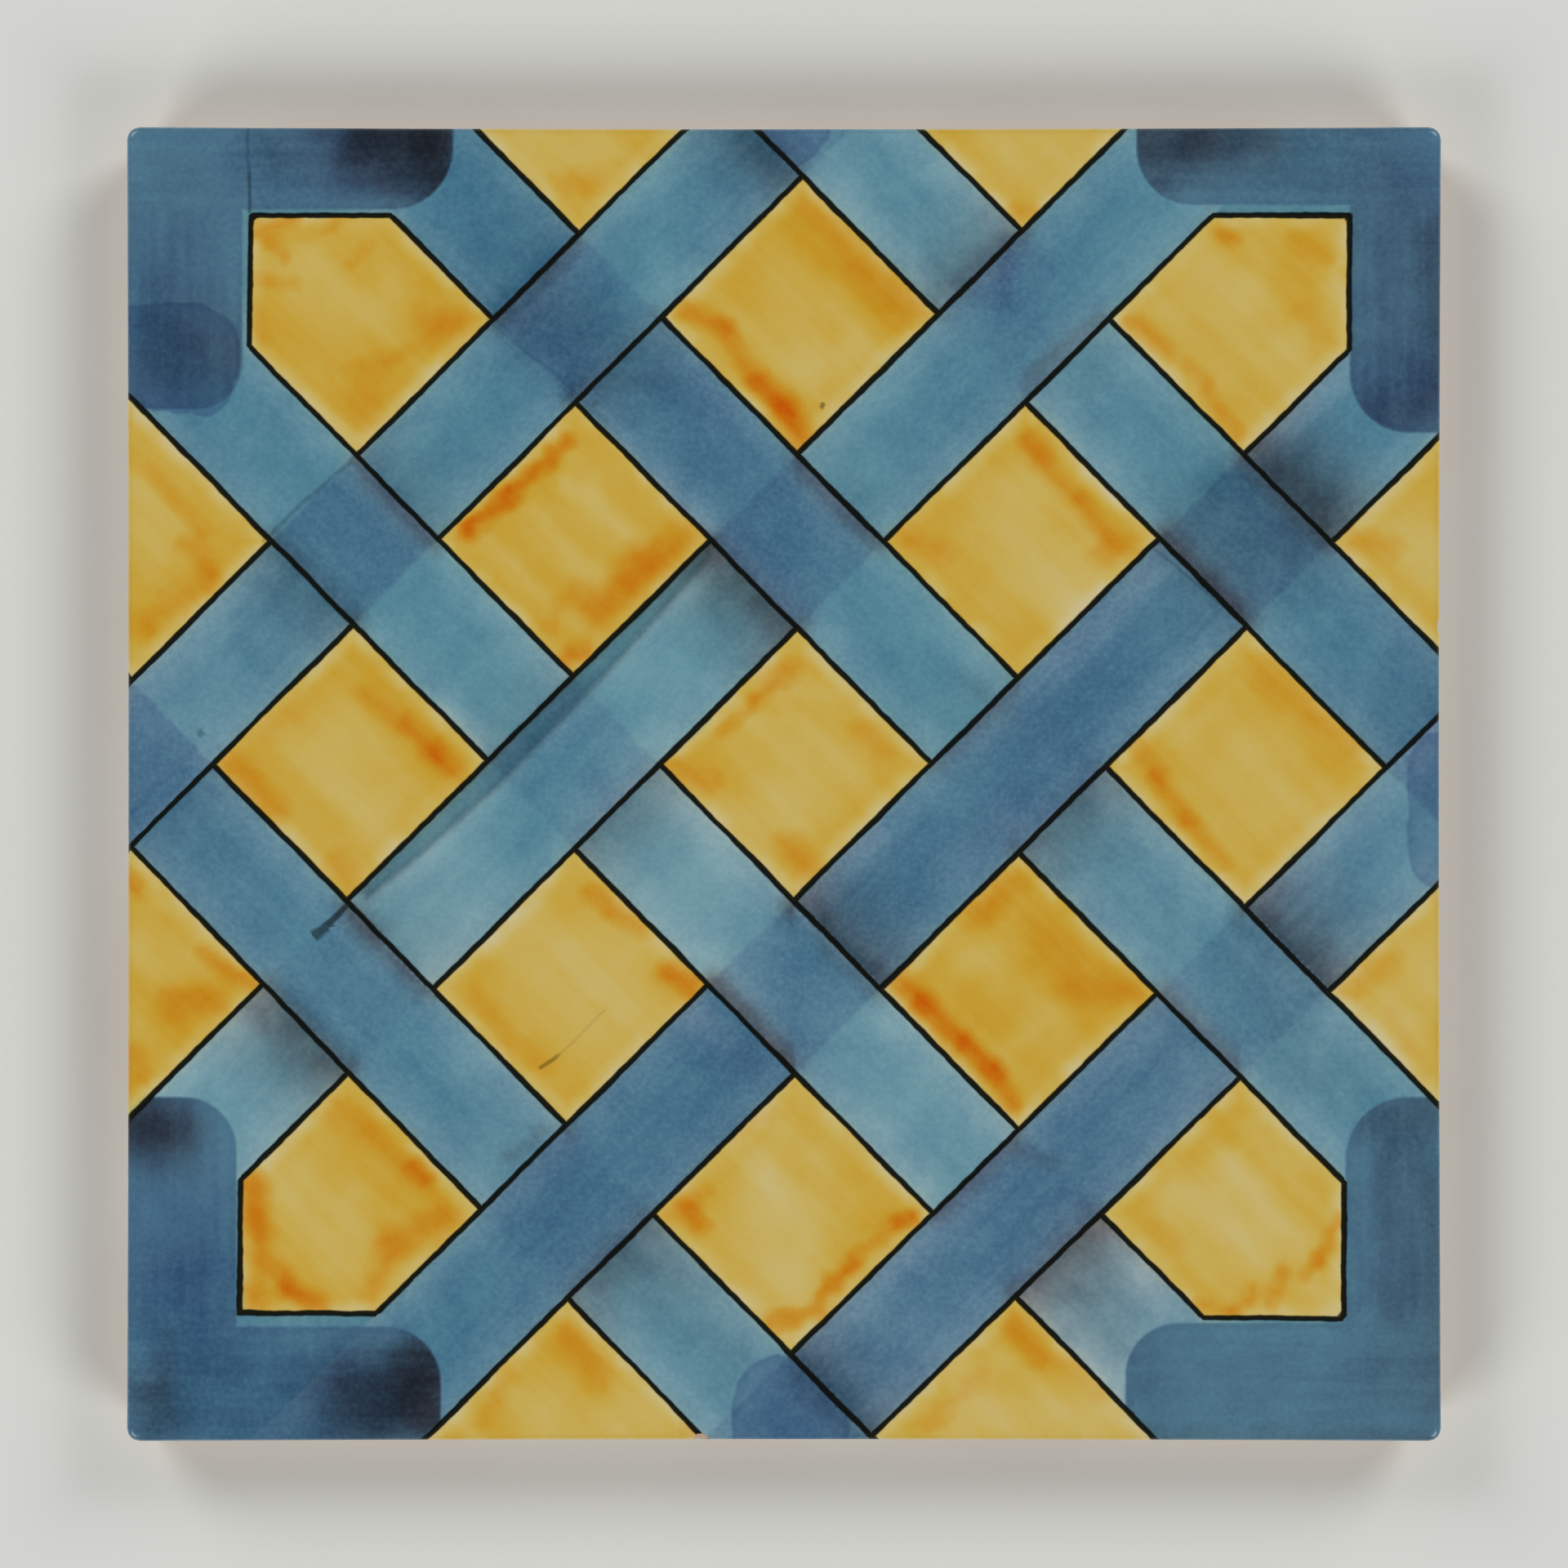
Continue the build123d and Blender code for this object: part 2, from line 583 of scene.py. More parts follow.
@dataclass
class Lattice:
    """The woven lattice: where each band and each of its outlines lies on the face."""

    pitch: float = 48.0
    band_width: float = 18.7
    middle: tuple[float, float] = (1.9, 3.06)
    line_reach: float = 90.0
    bands_end: float = 2.0
    correction_rounds: int = 3
    shade_strength: float = 1.5
    dive_reach: float = 6.0
    dive_power: float = 1.3
    dive_sides: tuple[float, float] = (1.2, -0.4)
    edge_reach: float = 2.4
    edge_sides: tuple[float, float] = (3.0, -1.0)
    corner_from: tuple[float, float] = (1.95, 2.2)
    corner_across: tuple[float, float] = (0.45, 0.15)
    end_across: float = 0.75
    box_from: float = 1.5
    box_across: float = 0.5
    box_left: float = -81.9
    box_left_lean: float = 0.0107
    box_right: float = 85.47
    box_right_lean: float = 0.0058
    box_bottom: float = -80.75
    box_bottom_lean: float = -0.0052
    box_top: float = 86.38
    rising: tuple[DrawnLine, ...] = (
        DrawnLine(-1.694, 1.4, -1.0),
        DrawnLine(-1.306, 0.1, -1.4),
        DrawnLine(-0.694, 0.6, -0.4),
        DrawnLine(-0.306, 0.7, -0.2),
        DrawnLine(0.306, 0.35, -0.45),
        DrawnLine(0.694, 0.3, -0.35),
        DrawnLine(1.306, 0.05, -0.2),
        DrawnLine(1.694, -0.9, -1.2),
    )
    falling: tuple[DrawnLine, ...] = (
        DrawnLine(-1.694, -1.5, 1.3),
        DrawnLine(-1.306, -1.7, 0.2),
        DrawnLine(-0.694, -0.45, 1.0),
        DrawnLine(-0.306, -1.05, 0.55),
        DrawnLine(0.306, -0.7, 0.6),
        DrawnLine(0.694, -0.9, 0.3),
        DrawnLine(1.306, 0.05, 1.35),
        DrawnLine(1.694, -0.4, 0.3),
    )
    crossings: tuple[Crossing, ...] = (
        Crossing(-3, 0, 0.45, right_dive=0.10),
        Crossing(-2, 1, 0.50, 0.40, 0.25, 0.40, 0.70),
        Crossing(-2, -1, 0.12, 0.85, 0.15, 0.50, 0.75),
        Crossing(-1, 2, 0.30, 0.10, 0.25, 0.55, 0.25),
        Crossing(-1, 0, 0.22, 0.15, 0.45, 0.15, 0.15),
        Crossing(-1, -2, 0.12, 0.05, 0.65, 0.10, 0.35),
        Crossing(0, 3, 0.30, 0.45, 0.00, 0.15, 0.10),
        Crossing(0, 1, 0.38, 1.10, 0.10, 0.35, 0.70),
        Crossing(0, -1, 0.38, 0.05, 0.85, 1.15, 0.30),
        Crossing(0, -3, 0.35, 0.00, 0.45, 0.00, 0.10),
        Crossing(1, 2, 0.08, 0.50, 0.10, 0.20, 0.35),
        Crossing(1, 0, 0.10, 0.10, 0.60, 0.40, 0.15),
        Crossing(1, -2, 0.08, 0.05, 0.82, 0.45, 0.25),
        Crossing(2, 1, 0.40, 0.10, 0.85, 0.90, 0.60),
        Crossing(2, -1, 0.25, 0.10, 1.02, 0.60, 0.15),
        Crossing(3, 0, 0.45, left_dive=0.10),
    )
    rising_coats: dict[int, tuple[Coat, ...]] = field(
        default_factory=lambda: {
            1: ((-100, 0.85, 0.45), (-88, 0.82, 0.22), (-76, 0.96, 0.28), (-50, 1.00, 0.20),
                (-32, 1.00, 0.35), (-20, 0.95, 0.10), (-8, 1.00, 0.40)),
            0: ((-92, 0.72, 0.00), (-80, 0.73, 0.05), (-66, 0.92, 0.10), (-54, 0.70, 0.00),
                (-46, 0.77, 0.05), (-38, 1.00, 0.15), (-32, 0.92, 0.10), (-20, 0.80, 0.00),
                (-12, 0.86, 0.05), (0, 0.98, 0.15), (9, 0.90, 0.10), (14, 0.95, 0.10), (24, 0.96, 0.30),
                (36, 1.00, 0.40), (50, 0.96, 0.20), (70, 0.96, 0.15)),
            -1: ((-92, 1.00, 0.60), (-66, 1.00, 0.50), (-45, 1.00, 0.45), (-35, 1.00, 0.70),
                 (-20, 1.00, 0.60), (-12, 1.00, 0.75), (2, 1.00, 0.60), (15, 0.98, 0.65),
                 (25, 0.98, 0.50), (36, 0.95, 0.65), (46, 1.00, 0.85), (56, 0.97, 0.55),
                 (63, 0.93, 0.50), (70, 1.00, 0.50), (80, 1.00, 0.42), (92, 0.96, 0.20)),
            -2: ((5, 0.80, 0.75), (15, 0.82, 0.70), (25, 0.84, 0.68), (36, 0.92, 0.68),
                 (48, 0.90, 0.75), (56, 0.84, 0.65), (66, 0.85, 0.60), (80, 0.80, 0.45),
                 (90, 0.85, 0.30), (98, 0.85, 0.40)),
        }
    )
    falling_coats: dict[int, tuple[Coat, ...]] = field(
        default_factory=lambda: {
            -2: ((-88, 0.95, 0.50), (-80, 0.95, 0.40), (-70, 0.95, 0.35), (-55, 0.95, 0.30),
                 (-45, 0.86, 0.20), (-22, 0.85, 0.18), (-12, 0.86, 0.15), (2, 0.90, 0.10)),
            -1: ((-98, 1.00, 0.30), (-85, 1.00, 0.25), (-75, 1.00, 0.20), (-50, 0.96, 0.05),
                 (-42, 0.90, 0.05), (-18, 0.74, 0.00), (-10, 0.67, 0.00), (2, 0.90, 0.30),
                 (15, 0.75, 0.05), (25, 0.80, 0.05), (45, 0.64, 0.10), (56, 0.62, 0.18),
                 (66, 0.90, 0.20)),
            0: ((-60, 1.10, 0.40), (-44, 1.12, 0.45), (-20, 1.00, 0.50), (-10, 1.00, 0.65),
                (0, 1.00, 0.45), (8, 0.93, 0.18), (15, 1.02, 0.15), (25, 0.96, 0.10), (48, 0.84, 0.20),
                (62, 0.86, 0.18), (68, 0.94, 0.22), (82, 0.84, 0.20), (92, 1.00, 0.20)),
            1: ((-4, 0.85, 0.40), (8, 0.82, 0.10), (22, 0.88, 0.10), (28, 0.80, 0.08), (48, 0.88, 0.15),
                (55, 0.95, 0.15), (62, 1.00, 0.15), (82, 1.00, 0.40), (90, 1.00, 0.50),
                (95, 1.00, 0.60)),
        }
    )
    corner_coat: tuple[float, float] = (0.88, 0.22)
    plain_coat: tuple[float, float] = (1.0, 0.2)
    wash_share: float = 0.96
    least_cobalt: float = 0.03

    def drawn_levels(self, across: np.ndarray, along: np.ndarray, lines: tuple) -> np.ndarray:
        """Reads places across the bands against the lines as they were drawn.

        Args:
            across: distance from the middle of the lattice, square to the bands.
            along: distance along the bands.
            lines: the outlines of those bands.

        Returns:
            Pitches across the bands, which are the lines' own levels on the drawn lines.
        """
        share = (along / self.line_reach + 1.0) / 2.0
        strays = [
            line.stray_at_start + (line.stray_at_end - line.stray_at_start) * share
            for line in lines
        ]
        levels = across / self.pitch
        for _ in range(self.correction_rounds):
            stray = np.array(strays[0])
            for low, high, before, after in zip(lines, lines[1:], strays, strays[1:], strict=False):
                step = np.clip((levels - low.level) / (high.level - low.level), 0.0, 1.0)
                stray = stray + step * (after - before)
            levels = (across - stray) / self.pitch
        return levels

    def read(self, points: np.ndarray) -> tuple[np.ndarray, np.ndarray]:
        """The pitches across the falling and across the rising bands at each x and y.

        Args:
            points: places on the face, one row of x and y each.

        Returns:
            Pitches across the falling bands, and across the rising ones.
        """
        x, y = points[:, 0] - self.middle[0], points[:, 1] - self.middle[1]
        up, down = (x + y) / ROOT_TWO, (y - x) / ROOT_TWO
        return self.drawn_levels(up, down, self.falling), self.drawn_levels(down, up, self.rising)

    def outside_band(self, levels: np.ndarray) -> np.ndarray:
        """Distance from the outline of the nearest band, below nought within the band."""
        nearest = np.abs(levels - np.floor(levels) - 0.5) * self.pitch - self.band_width / 2.0
        return np.maximum(nearest, (np.abs(levels) - self.bands_end) * self.pitch)

    def outside_box(self, points: np.ndarray, levels: tuple[np.ndarray, np.ndarray]) -> np.ndarray:
        """Finds the level and upright lines that cut off the four corner cells.

        Args:
            points: places on the face, one row of x and y each.
            levels: pitches across the falling and across the rising bands.

        Returns:
            Distance from those lines, below nought within them and far from the corners.
        """
        falls, rises = np.abs(levels)
        x, y = points.T
        left, right = self.box_left + self.box_left_lean * y, self.box_right + self.box_right_lean * y
        bottom, top = self.box_bottom + self.box_bottom_lean * x, self.box_top
        box = np.max([left - x, x - right, bottom - y, y - top], axis=0)
        high, low = np.maximum(falls, rises), np.minimum(falls, rises)
        return np.where((high > self.box_from) & (low < self.box_across), box, -FAR_OFF)

    def rising_above(self, levels: tuple[np.ndarray, np.ndarray]) -> np.ndarray:
        """Whether the rising band passes over the falling one at the nearest crossing."""
        falls, rises = levels
        return np.mod(np.floor(falls) - np.floor(rises), 2.0) > 0.5

    def on_rising(self, levels: tuple[np.ndarray, np.ndarray]) -> np.ndarray:
        """Finds which band is seen at each place.

        Args:
            levels: pitches across the falling and across the rising bands.

        Returns:
            Whether it is a rising one, or would be if the cells were painted over.
        """
        falls, rises = levels
        off_falling, off_rising = self.outside_band(falls), self.outside_band(rises)
        crossed = (off_rising < 0.0) & (off_falling < 0.0)
        nearer = np.where(crossed, self.rising_above(levels), off_rising < off_falling)
        low = np.minimum(np.abs(falls), np.abs(rises))
        high = np.maximum(np.abs(falls), np.abs(rises))
        past_ends = (high > self.bands_end) & (low < self.end_across)
        return np.where(past_ends, np.abs(falls) > np.abs(rises), nearer)

    def coats(self, points: np.ndarray) -> tuple[np.ndarray, ...]:
        """The washes that follow the bands.

        Args:
            points: places on the face, one row of x and y each.

        Returns:
            The wash, the cobalt, the second coat where bands overlap, and the shading.
        """
        falls, rises = levels = self.read(points)
        nearer_rising = self.on_rising(levels)
        low = np.minimum(np.abs(falls), np.abs(rises))
        high = np.maximum(np.abs(falls), np.abs(rises))
        corner = smooth_step(*self.corner_from, high) * smooth_step(*self.corner_across, low)
        on_rising = self.tones(points, rises, Course.RISING)
        on_falling = self.tones(points, falls, Course.FALLING)
        wash, cobalt = (
            np.where(nearer_rising, rising, falling) * (1.0 - corner) + plain * corner
            for rising, falling, plain in zip(on_rising, on_falling, self.corner_coat, strict=True)
        )
        overlap, shade = np.zeros(len(points)), np.zeros(len(points))
        column = np.floor(falls) - np.floor(rises)
        row = np.floor(falls) + np.floor(rises) + 1.0
        right = np.mod(falls, 1.0) - np.mod(rises, 1.0) > 0.0
        dive, edge = self.soot(levels)
        for place in self.crossings:
            here = (column == place.column) & (row == place.row)
            overlap[here] = place.overlap
            diving = np.where(right, place.right_dive, place.left_dive)
            edging = np.where(right, place.right_edge, place.left_edge)
            shade[here] = self.shade_strength * (dive * diving + edge * edging)[here]
        return self.wash_share * wash, cobalt + self.least_cobalt, overlap, shade

    def soot(self, levels: tuple[np.ndarray, np.ndarray]) -> tuple[np.ndarray, np.ndarray]:
        """Finds where shading can lie beside the outlines of the upper band of each crossing.

        Args:
            levels: pitches across the falling and across the rising bands.

        Returns:
            Shares from nought to one, for the lower band and for the upper one.
        """
        off_falling, off_rising = (self.outside_band(level) for level in levels)
        rising_above = self.rising_above(levels)
        above = np.where(rising_above, off_rising, off_falling)
        below = np.where(rising_above, off_falling, off_rising)
        fading = np.exp(-((np.maximum(above, 0.0) / self.dive_reach) ** self.dive_power))
        dive = np.where(above > 0.0, fading * smooth_step(*self.dive_sides, below), 0.0)
        edge = np.where(above <= 0.0, np.exp(-((above / self.edge_reach) ** 2)), 0.0)
        return dive, edge * smooth_step(*self.edge_sides, below)

    def tones(self, points: np.ndarray, levels: np.ndarray, course: Course) -> np.ndarray:
        """Reads how thick the blue lies on the bands of one course.

        Args:
            points: places on the face, one row of x and y each.
            levels: pitches across the bands of that course.
            course: which way the bands run.

        Returns:
            A row for the wash and a row for the cobalt.
        """
        coats = self.rising_coats if course is Course.RISING else self.falling_coats
        tone = np.tile(np.array([self.plain_coat]).T, len(points))
        for band, places in coats.items():
            reach, wash, cobalt = np.array(places).T
            here = np.floor(levels) == band
            tone[0, here] = np.interp(points[here, 0], reach, wash)
            tone[1, here] = np.interp(points[here, 0], reach, cobalt)
        return tone


def brushed(points: np.ndarray, marks: tuple[Mark, ...], softness: float = 0.62) -> np.ndarray:
    """Adds up soft marks that a brush left.

    Args:
        points: places on the face, one row of x and y each.
        marks: each mark's start and end, its width and its strength.
        softness: how far a mark fades outward, as a share of its width.

    Returns:
        How much of the marks lies on each place.
    """
    total = np.zeros(len(points))
    for x, y, to_x, to_y, width, strength in marks:
        start = np.array([x, y])
        run = np.array([to_x, to_y]) - start
        share = np.clip((points - start) @ run / max(float(run @ run), 1e-6), 0.0, 1.0)
        distance = np.hypot(*(points - start - share[:, None] * run).T)
        total += strength * np.exp(-((distance / (softness * width)) ** 2))
    return total


@dataclass(frozen=True)
class FlatStroke:
    """A stroke of a broad flat brush with rounded corners, laid along a side of the tile."""

    left: float
    right: float
    bottom: float
    top: float
    rounding: float

    def distance(self, points: np.ndarray) -> np.ndarray:
        """Distance from the stroke's edge, below nought within it.

        Args:
            points: places on the face, one row of x and y each.

        Returns:
            The distance at each place.
        """
        middle = np.array([(self.left + self.right) / 2.0, (self.bottom + self.top) / 2.0])
        half = np.array([(self.right - self.left) / 2.0, (self.top - self.bottom) / 2.0])
        past = np.abs(points - middle) - (half - self.rounding)
        outside = np.hypot(*np.maximum(past, 0.0).T)
        return outside + np.minimum(past.max(axis=1), 0.0) - self.rounding


def scratched(
    points: np.ndarray, marks: tuple[Mark, ...], half_width: float
) -> tuple[np.ndarray, ...]:
    """Finds the nearest of the thin marks.

    Args:
        points: places on the face, one row of x and y each.
        marks: each mark's start and end, its half width and its strength.
        half_width: what every half width is stretched to, for one material to draw them all.

    Returns:
        How far each place is to one side of the mark, how far it is beyond the mark's ends, and
        how strong the mark is.
    """
    found = np.full((3, len(points)), FAR_OFF)
    nearest = np.full(len(points), FAR_OFF)
    for x, y, to_x, to_y, width, strength in marks:
        middle = np.array([x + to_x, y + to_y]) / 2.0
        run = np.array([to_x - x, to_y - y])
        length = float(np.hypot(*run))
        ahead = (points - middle) @ run / length
        aside = (points - middle) @ np.array([-run[1], run[0]]) / length
        distance = np.maximum(np.abs(aside), np.abs(ahead) - length / 2.0)
        here = distance < nearest
        nearest[here] = distance[here]
        found[:, here] = np.stack(
            [aside, np.abs(ahead) - length / 2.0, np.full(len(points), strength)]
        )[:, here]
        found[0, here] *= half_width / width
    return tuple(found)


@dataclass(frozen=True)
class Share:
    """How much of each kind of the hand's unevenness a coat takes on."""

    slow: float = 0.0
    slower: float = 0.0
    mottle: float = 0.0
    patches: float = 0.0
    fine: float = 0.0
    streaks: float = 0.0


@dataclass
class Hand:
    """How the painter's hand and the melting glaze wandered at each place on the tile."""

    slow: np.ndarray
    slower: np.ndarray
    mottle: np.ndarray
    patches: np.ndarray
    fine: np.ndarray
    streaks: np.ndarray

    def uneven(self, share: Share) -> np.ndarray:
        """Adds up the kinds of unevenness.

        Args:
            share: how much of each kind counts.

        Returns:
            The sum at each place.
        """
        return sum(size * getattr(self, kind) for kind, size in vars(share).items() if size)


@dataclass
class Painting:
    """Everything that was brushed on the face over the lattice, in millimetres on the tile."""

    lattice: Lattice
    level_strokes: tuple[FlatStroke, ...] = (
        FlatStroke(-120.0, -50.3, 87.3, 115.0, 9.5),
        FlatStroke(53.6, 120.0, 88.0, 115.0, 8.5),
        FlatStroke(-120.0, -52.2, -115.0, -82.4, 8.5),
        FlatStroke(51.9, 120.0, -115.0, -81.9, 8.0),
    )
    upright_strokes: tuple[FlatStroke, ...] = (
        FlatStroke(-115.0, -82.3, 57.0, 120.0, 7.0),
        FlatStroke(86.0, 115.0, 53.4, 120.0, 9.0),
        FlatStroke(-115.0, -83.2, -120.0, -47.6, 8.0),
        FlatStroke(85.3, 115.0, -120.0, -47.6, 9.5),
    )
    second_coats: tuple[FlatStroke, ...] = (
        FlatStroke(-110.0, -82.2, 56.6, 73.0, 7.5),
        FlatStroke(-12.0, 7.2, 93.2, 112.0, 8.0),
        FlatStroke(-8.0, 10.0, -112.0, -86.5, 8.5),
        FlatStroke(94.8, 112.0, -16.0, 8.0, 5.0),
    )
    wash_marks: tuple[Mark, ...] = (
        (-76, 37, -66, 27, 5.0, 0.25), (1, -21, 12, -31, 4.5, 0.28), (70, -21, 80, -31, 4.5, 0.20),
        (70, 47, 80, 37, 4.5, 0.15), (-32, 61, -22, 71, 4.5, 0.20), (-99, -6, -91, 2, 4.0, 0.25),
        (-4, 99, 3, 94, 4.5, 0.25), (-75, -32, -66, -41, 3.0, 0.20), (2, -88, 12, -98, 5.0, 0.22),
        (-27, 53, -13, 39, 3.5, -0.22), (42, 18, 56, 32, 3.5, -0.18), (3, -18, 14, -8, 4.0, -0.15),
        (24, -12, 34, -4, 4.0, -0.15), (-17, -32, -9, -39, 4.0, -0.20), (72, 52, 84, 62, 4.0, -0.18),
        (-52, 11, -47, 6, 4.0, -0.20), (65, 47, 71, 42, 5.0, 0.15),
        (-44, 71, -35, 80, 3.5, 0.20), (-29, 69, -26, 74, 4.0, 0.12),
        (5, -19, 12, -25, 5.0, -0.14), (38, -78, 44, -74, 4.0, -0.08),
        (-13, -28, -4, -36, 3.5, 0.12), (-93, -56, -93, -95, 16.0, 0.14),
        (-88, -92, -60, -92, 14.0, 0.14), (-77, 95, -68, 95, 9.0, 0.14),
        (72, 95, 88, 95, 10.0, 0.10), (-91, 68, -90, 62, 9.0, 0.08),
    )
    cobalt_marks: tuple[Mark, ...] = (
        (-39, 70, -32, 62, 8.0, 0.45), (-35, 74, -31, 69, 9.0, 0.15),
        (34, 80, 33, 74, 3.0, 0.60), (35, 78, 31, 74, 8.0, 0.30),
        (-16, 60, -12, 56, 8.0, 0.25), (-8, -41, -6, -42, 5.0, 0.40), (22, -13, 34, -4, 8.0, 0.20),
        (-28, 0, -24, -4, 5.0, 0.20), (0, -96, 2, -94, 14.0, 0.28), (-3, 97, 1, 96, 8.0, 0.12),
        (98, -10, 98, 4, 8.0, -0.25), (-99, -6, -93, 0, 6.0, 0.30),
    )
    bar_cobalt: tuple[Mark, ...] = (
        (-92, 92, -93, 80, 16.0, 0.22), (-78, 95, -68, 95, 12.0, 0.42), (-66, 96, -54, 93, 11.0, 0.40),
        (-94, 76, -94, 58, 13.0, 0.40), (55, 96, 64, 97, 11.0, 0.44), (72, 96, 96, 96, 12.0, 0.25),
        (91, 60, 97, 58, 11.0, 0.50), (98, 92, 98, 62, 5.0, 0.25), (93, 88, 93, 60, 14.0, 0.42),
        (-95, -52, -93, -72, 18.0, 0.62), (-93, -76, -94, -98, 17.0, 0.45),
        (-85, -90, -70, -93, 14.0, 0.38), (-62, -92, -57, -92, 14.0, 0.30),
        (90, -56, 93, -75, 14.0, 0.14), (94, -75, 95, -97, 16.0, 0.12),
        (58, -90, 84, -92, 15.0, 0.10), (54, -88, 55, -94, 6.0, 0.30), (90, -51, 97, -50, 7.0, 0.25),
        (-98, -52, -94, -52, 7.0, 0.35), (94, -56, 94, -78, 7.0, 0.15),
    )
    bar_pools: tuple[Mark, ...] = (
        (-62, 98, -58, 97, 9.5, 2.30), (-53, 99, -52, 91, 5.5, 2.00), (-76, 96, -68, 96, 10.0, 0.36),
        (-60, 91, -55, 90, 6.0, 0.45), (-92, 66, -86, 65, 11.0, 0.65), (-92, 88, -92, 78, 16.0, 0.15),
        (57, 99, 61, 97, 9.0, 1.30), (55, 96, 57, 90, 4.0, 0.60), (65, 98, 72, 98, 7.0, 0.75),
        (74, 95, 88, 95, 14.0, 0.28), (95, 82, 95, 62, 14.0, 0.42), (99, 84, 99, 60, 4.0, 0.40),
        (90, 57, 97, 56, 6.0, 0.45), (-99, -51, -94, -53, 7.5, 1.90),
        (-64, -94, -58, -93, 10.5, 1.85), (-58, -90, -56, -87, 5.0, 0.30),
        (-54, -96, -54, -88, 6.0, 1.50), (-96, -93, -95, -96, 6.0, 0.85),
        (-92, -90, -84, -92, 14.0, 0.10),
        (-94, -84, -95, -92, 3.0, 0.35), (94, -52, 95, -88, 13.0, 0.26),
        (90, -51, 97, -50, 6.0, 0.40), (99, -60, 99, -95, 3.0, 0.30), (55, -99, 98, -99, 2.2, 0.35),
        (60, -91, 96, -92, 15.0, 0.16), (94, -56, 94, -78, 7.0, 0.30),
    )
    shading: tuple[Mark, ...] = (
        (-65, -20, -62, -23, 3.2, 0.50),
        (-6, 97, 0, 93, 5.0, 0.35), (-78, -36, -70, -43, 4.5, 0.25), (78, 48, 84, 42, 8.0, 0.55),
        (66, 42, 75, 36, 13.0, 0.35), (-36, 71, -30, 68, 10.0, 0.25), (72, -27, 76, -35, 9.0, 0.12),
        (60, 38, 70, 28, 6.0, 0.25), (8, -25, 14, -30, 4.5, 0.20), (-16, -76, -8, -86, 9.0, 0.18),
        (78, -42, 86, -46, 9.0, 0.12), (37, 62, 47, 70, 2.2, 0.30),
        (27, 76, 37, 85, 2.4, 0.25), (-18, 62, -30, 60, 2.5, 0.15), (27, 16, 36, 9, 2.5, 0.15),
        (4, -90, 12, -98, 5.0, 0.35), (42, -58, 34, -55, 2.0, 0.30), (50, -84, 46, -70, 12.0, 0.22),
        (-42, -57, -36, -52, 1.8, 0.40), (35, -78, 48, -66, 3.0, 0.30),
    )
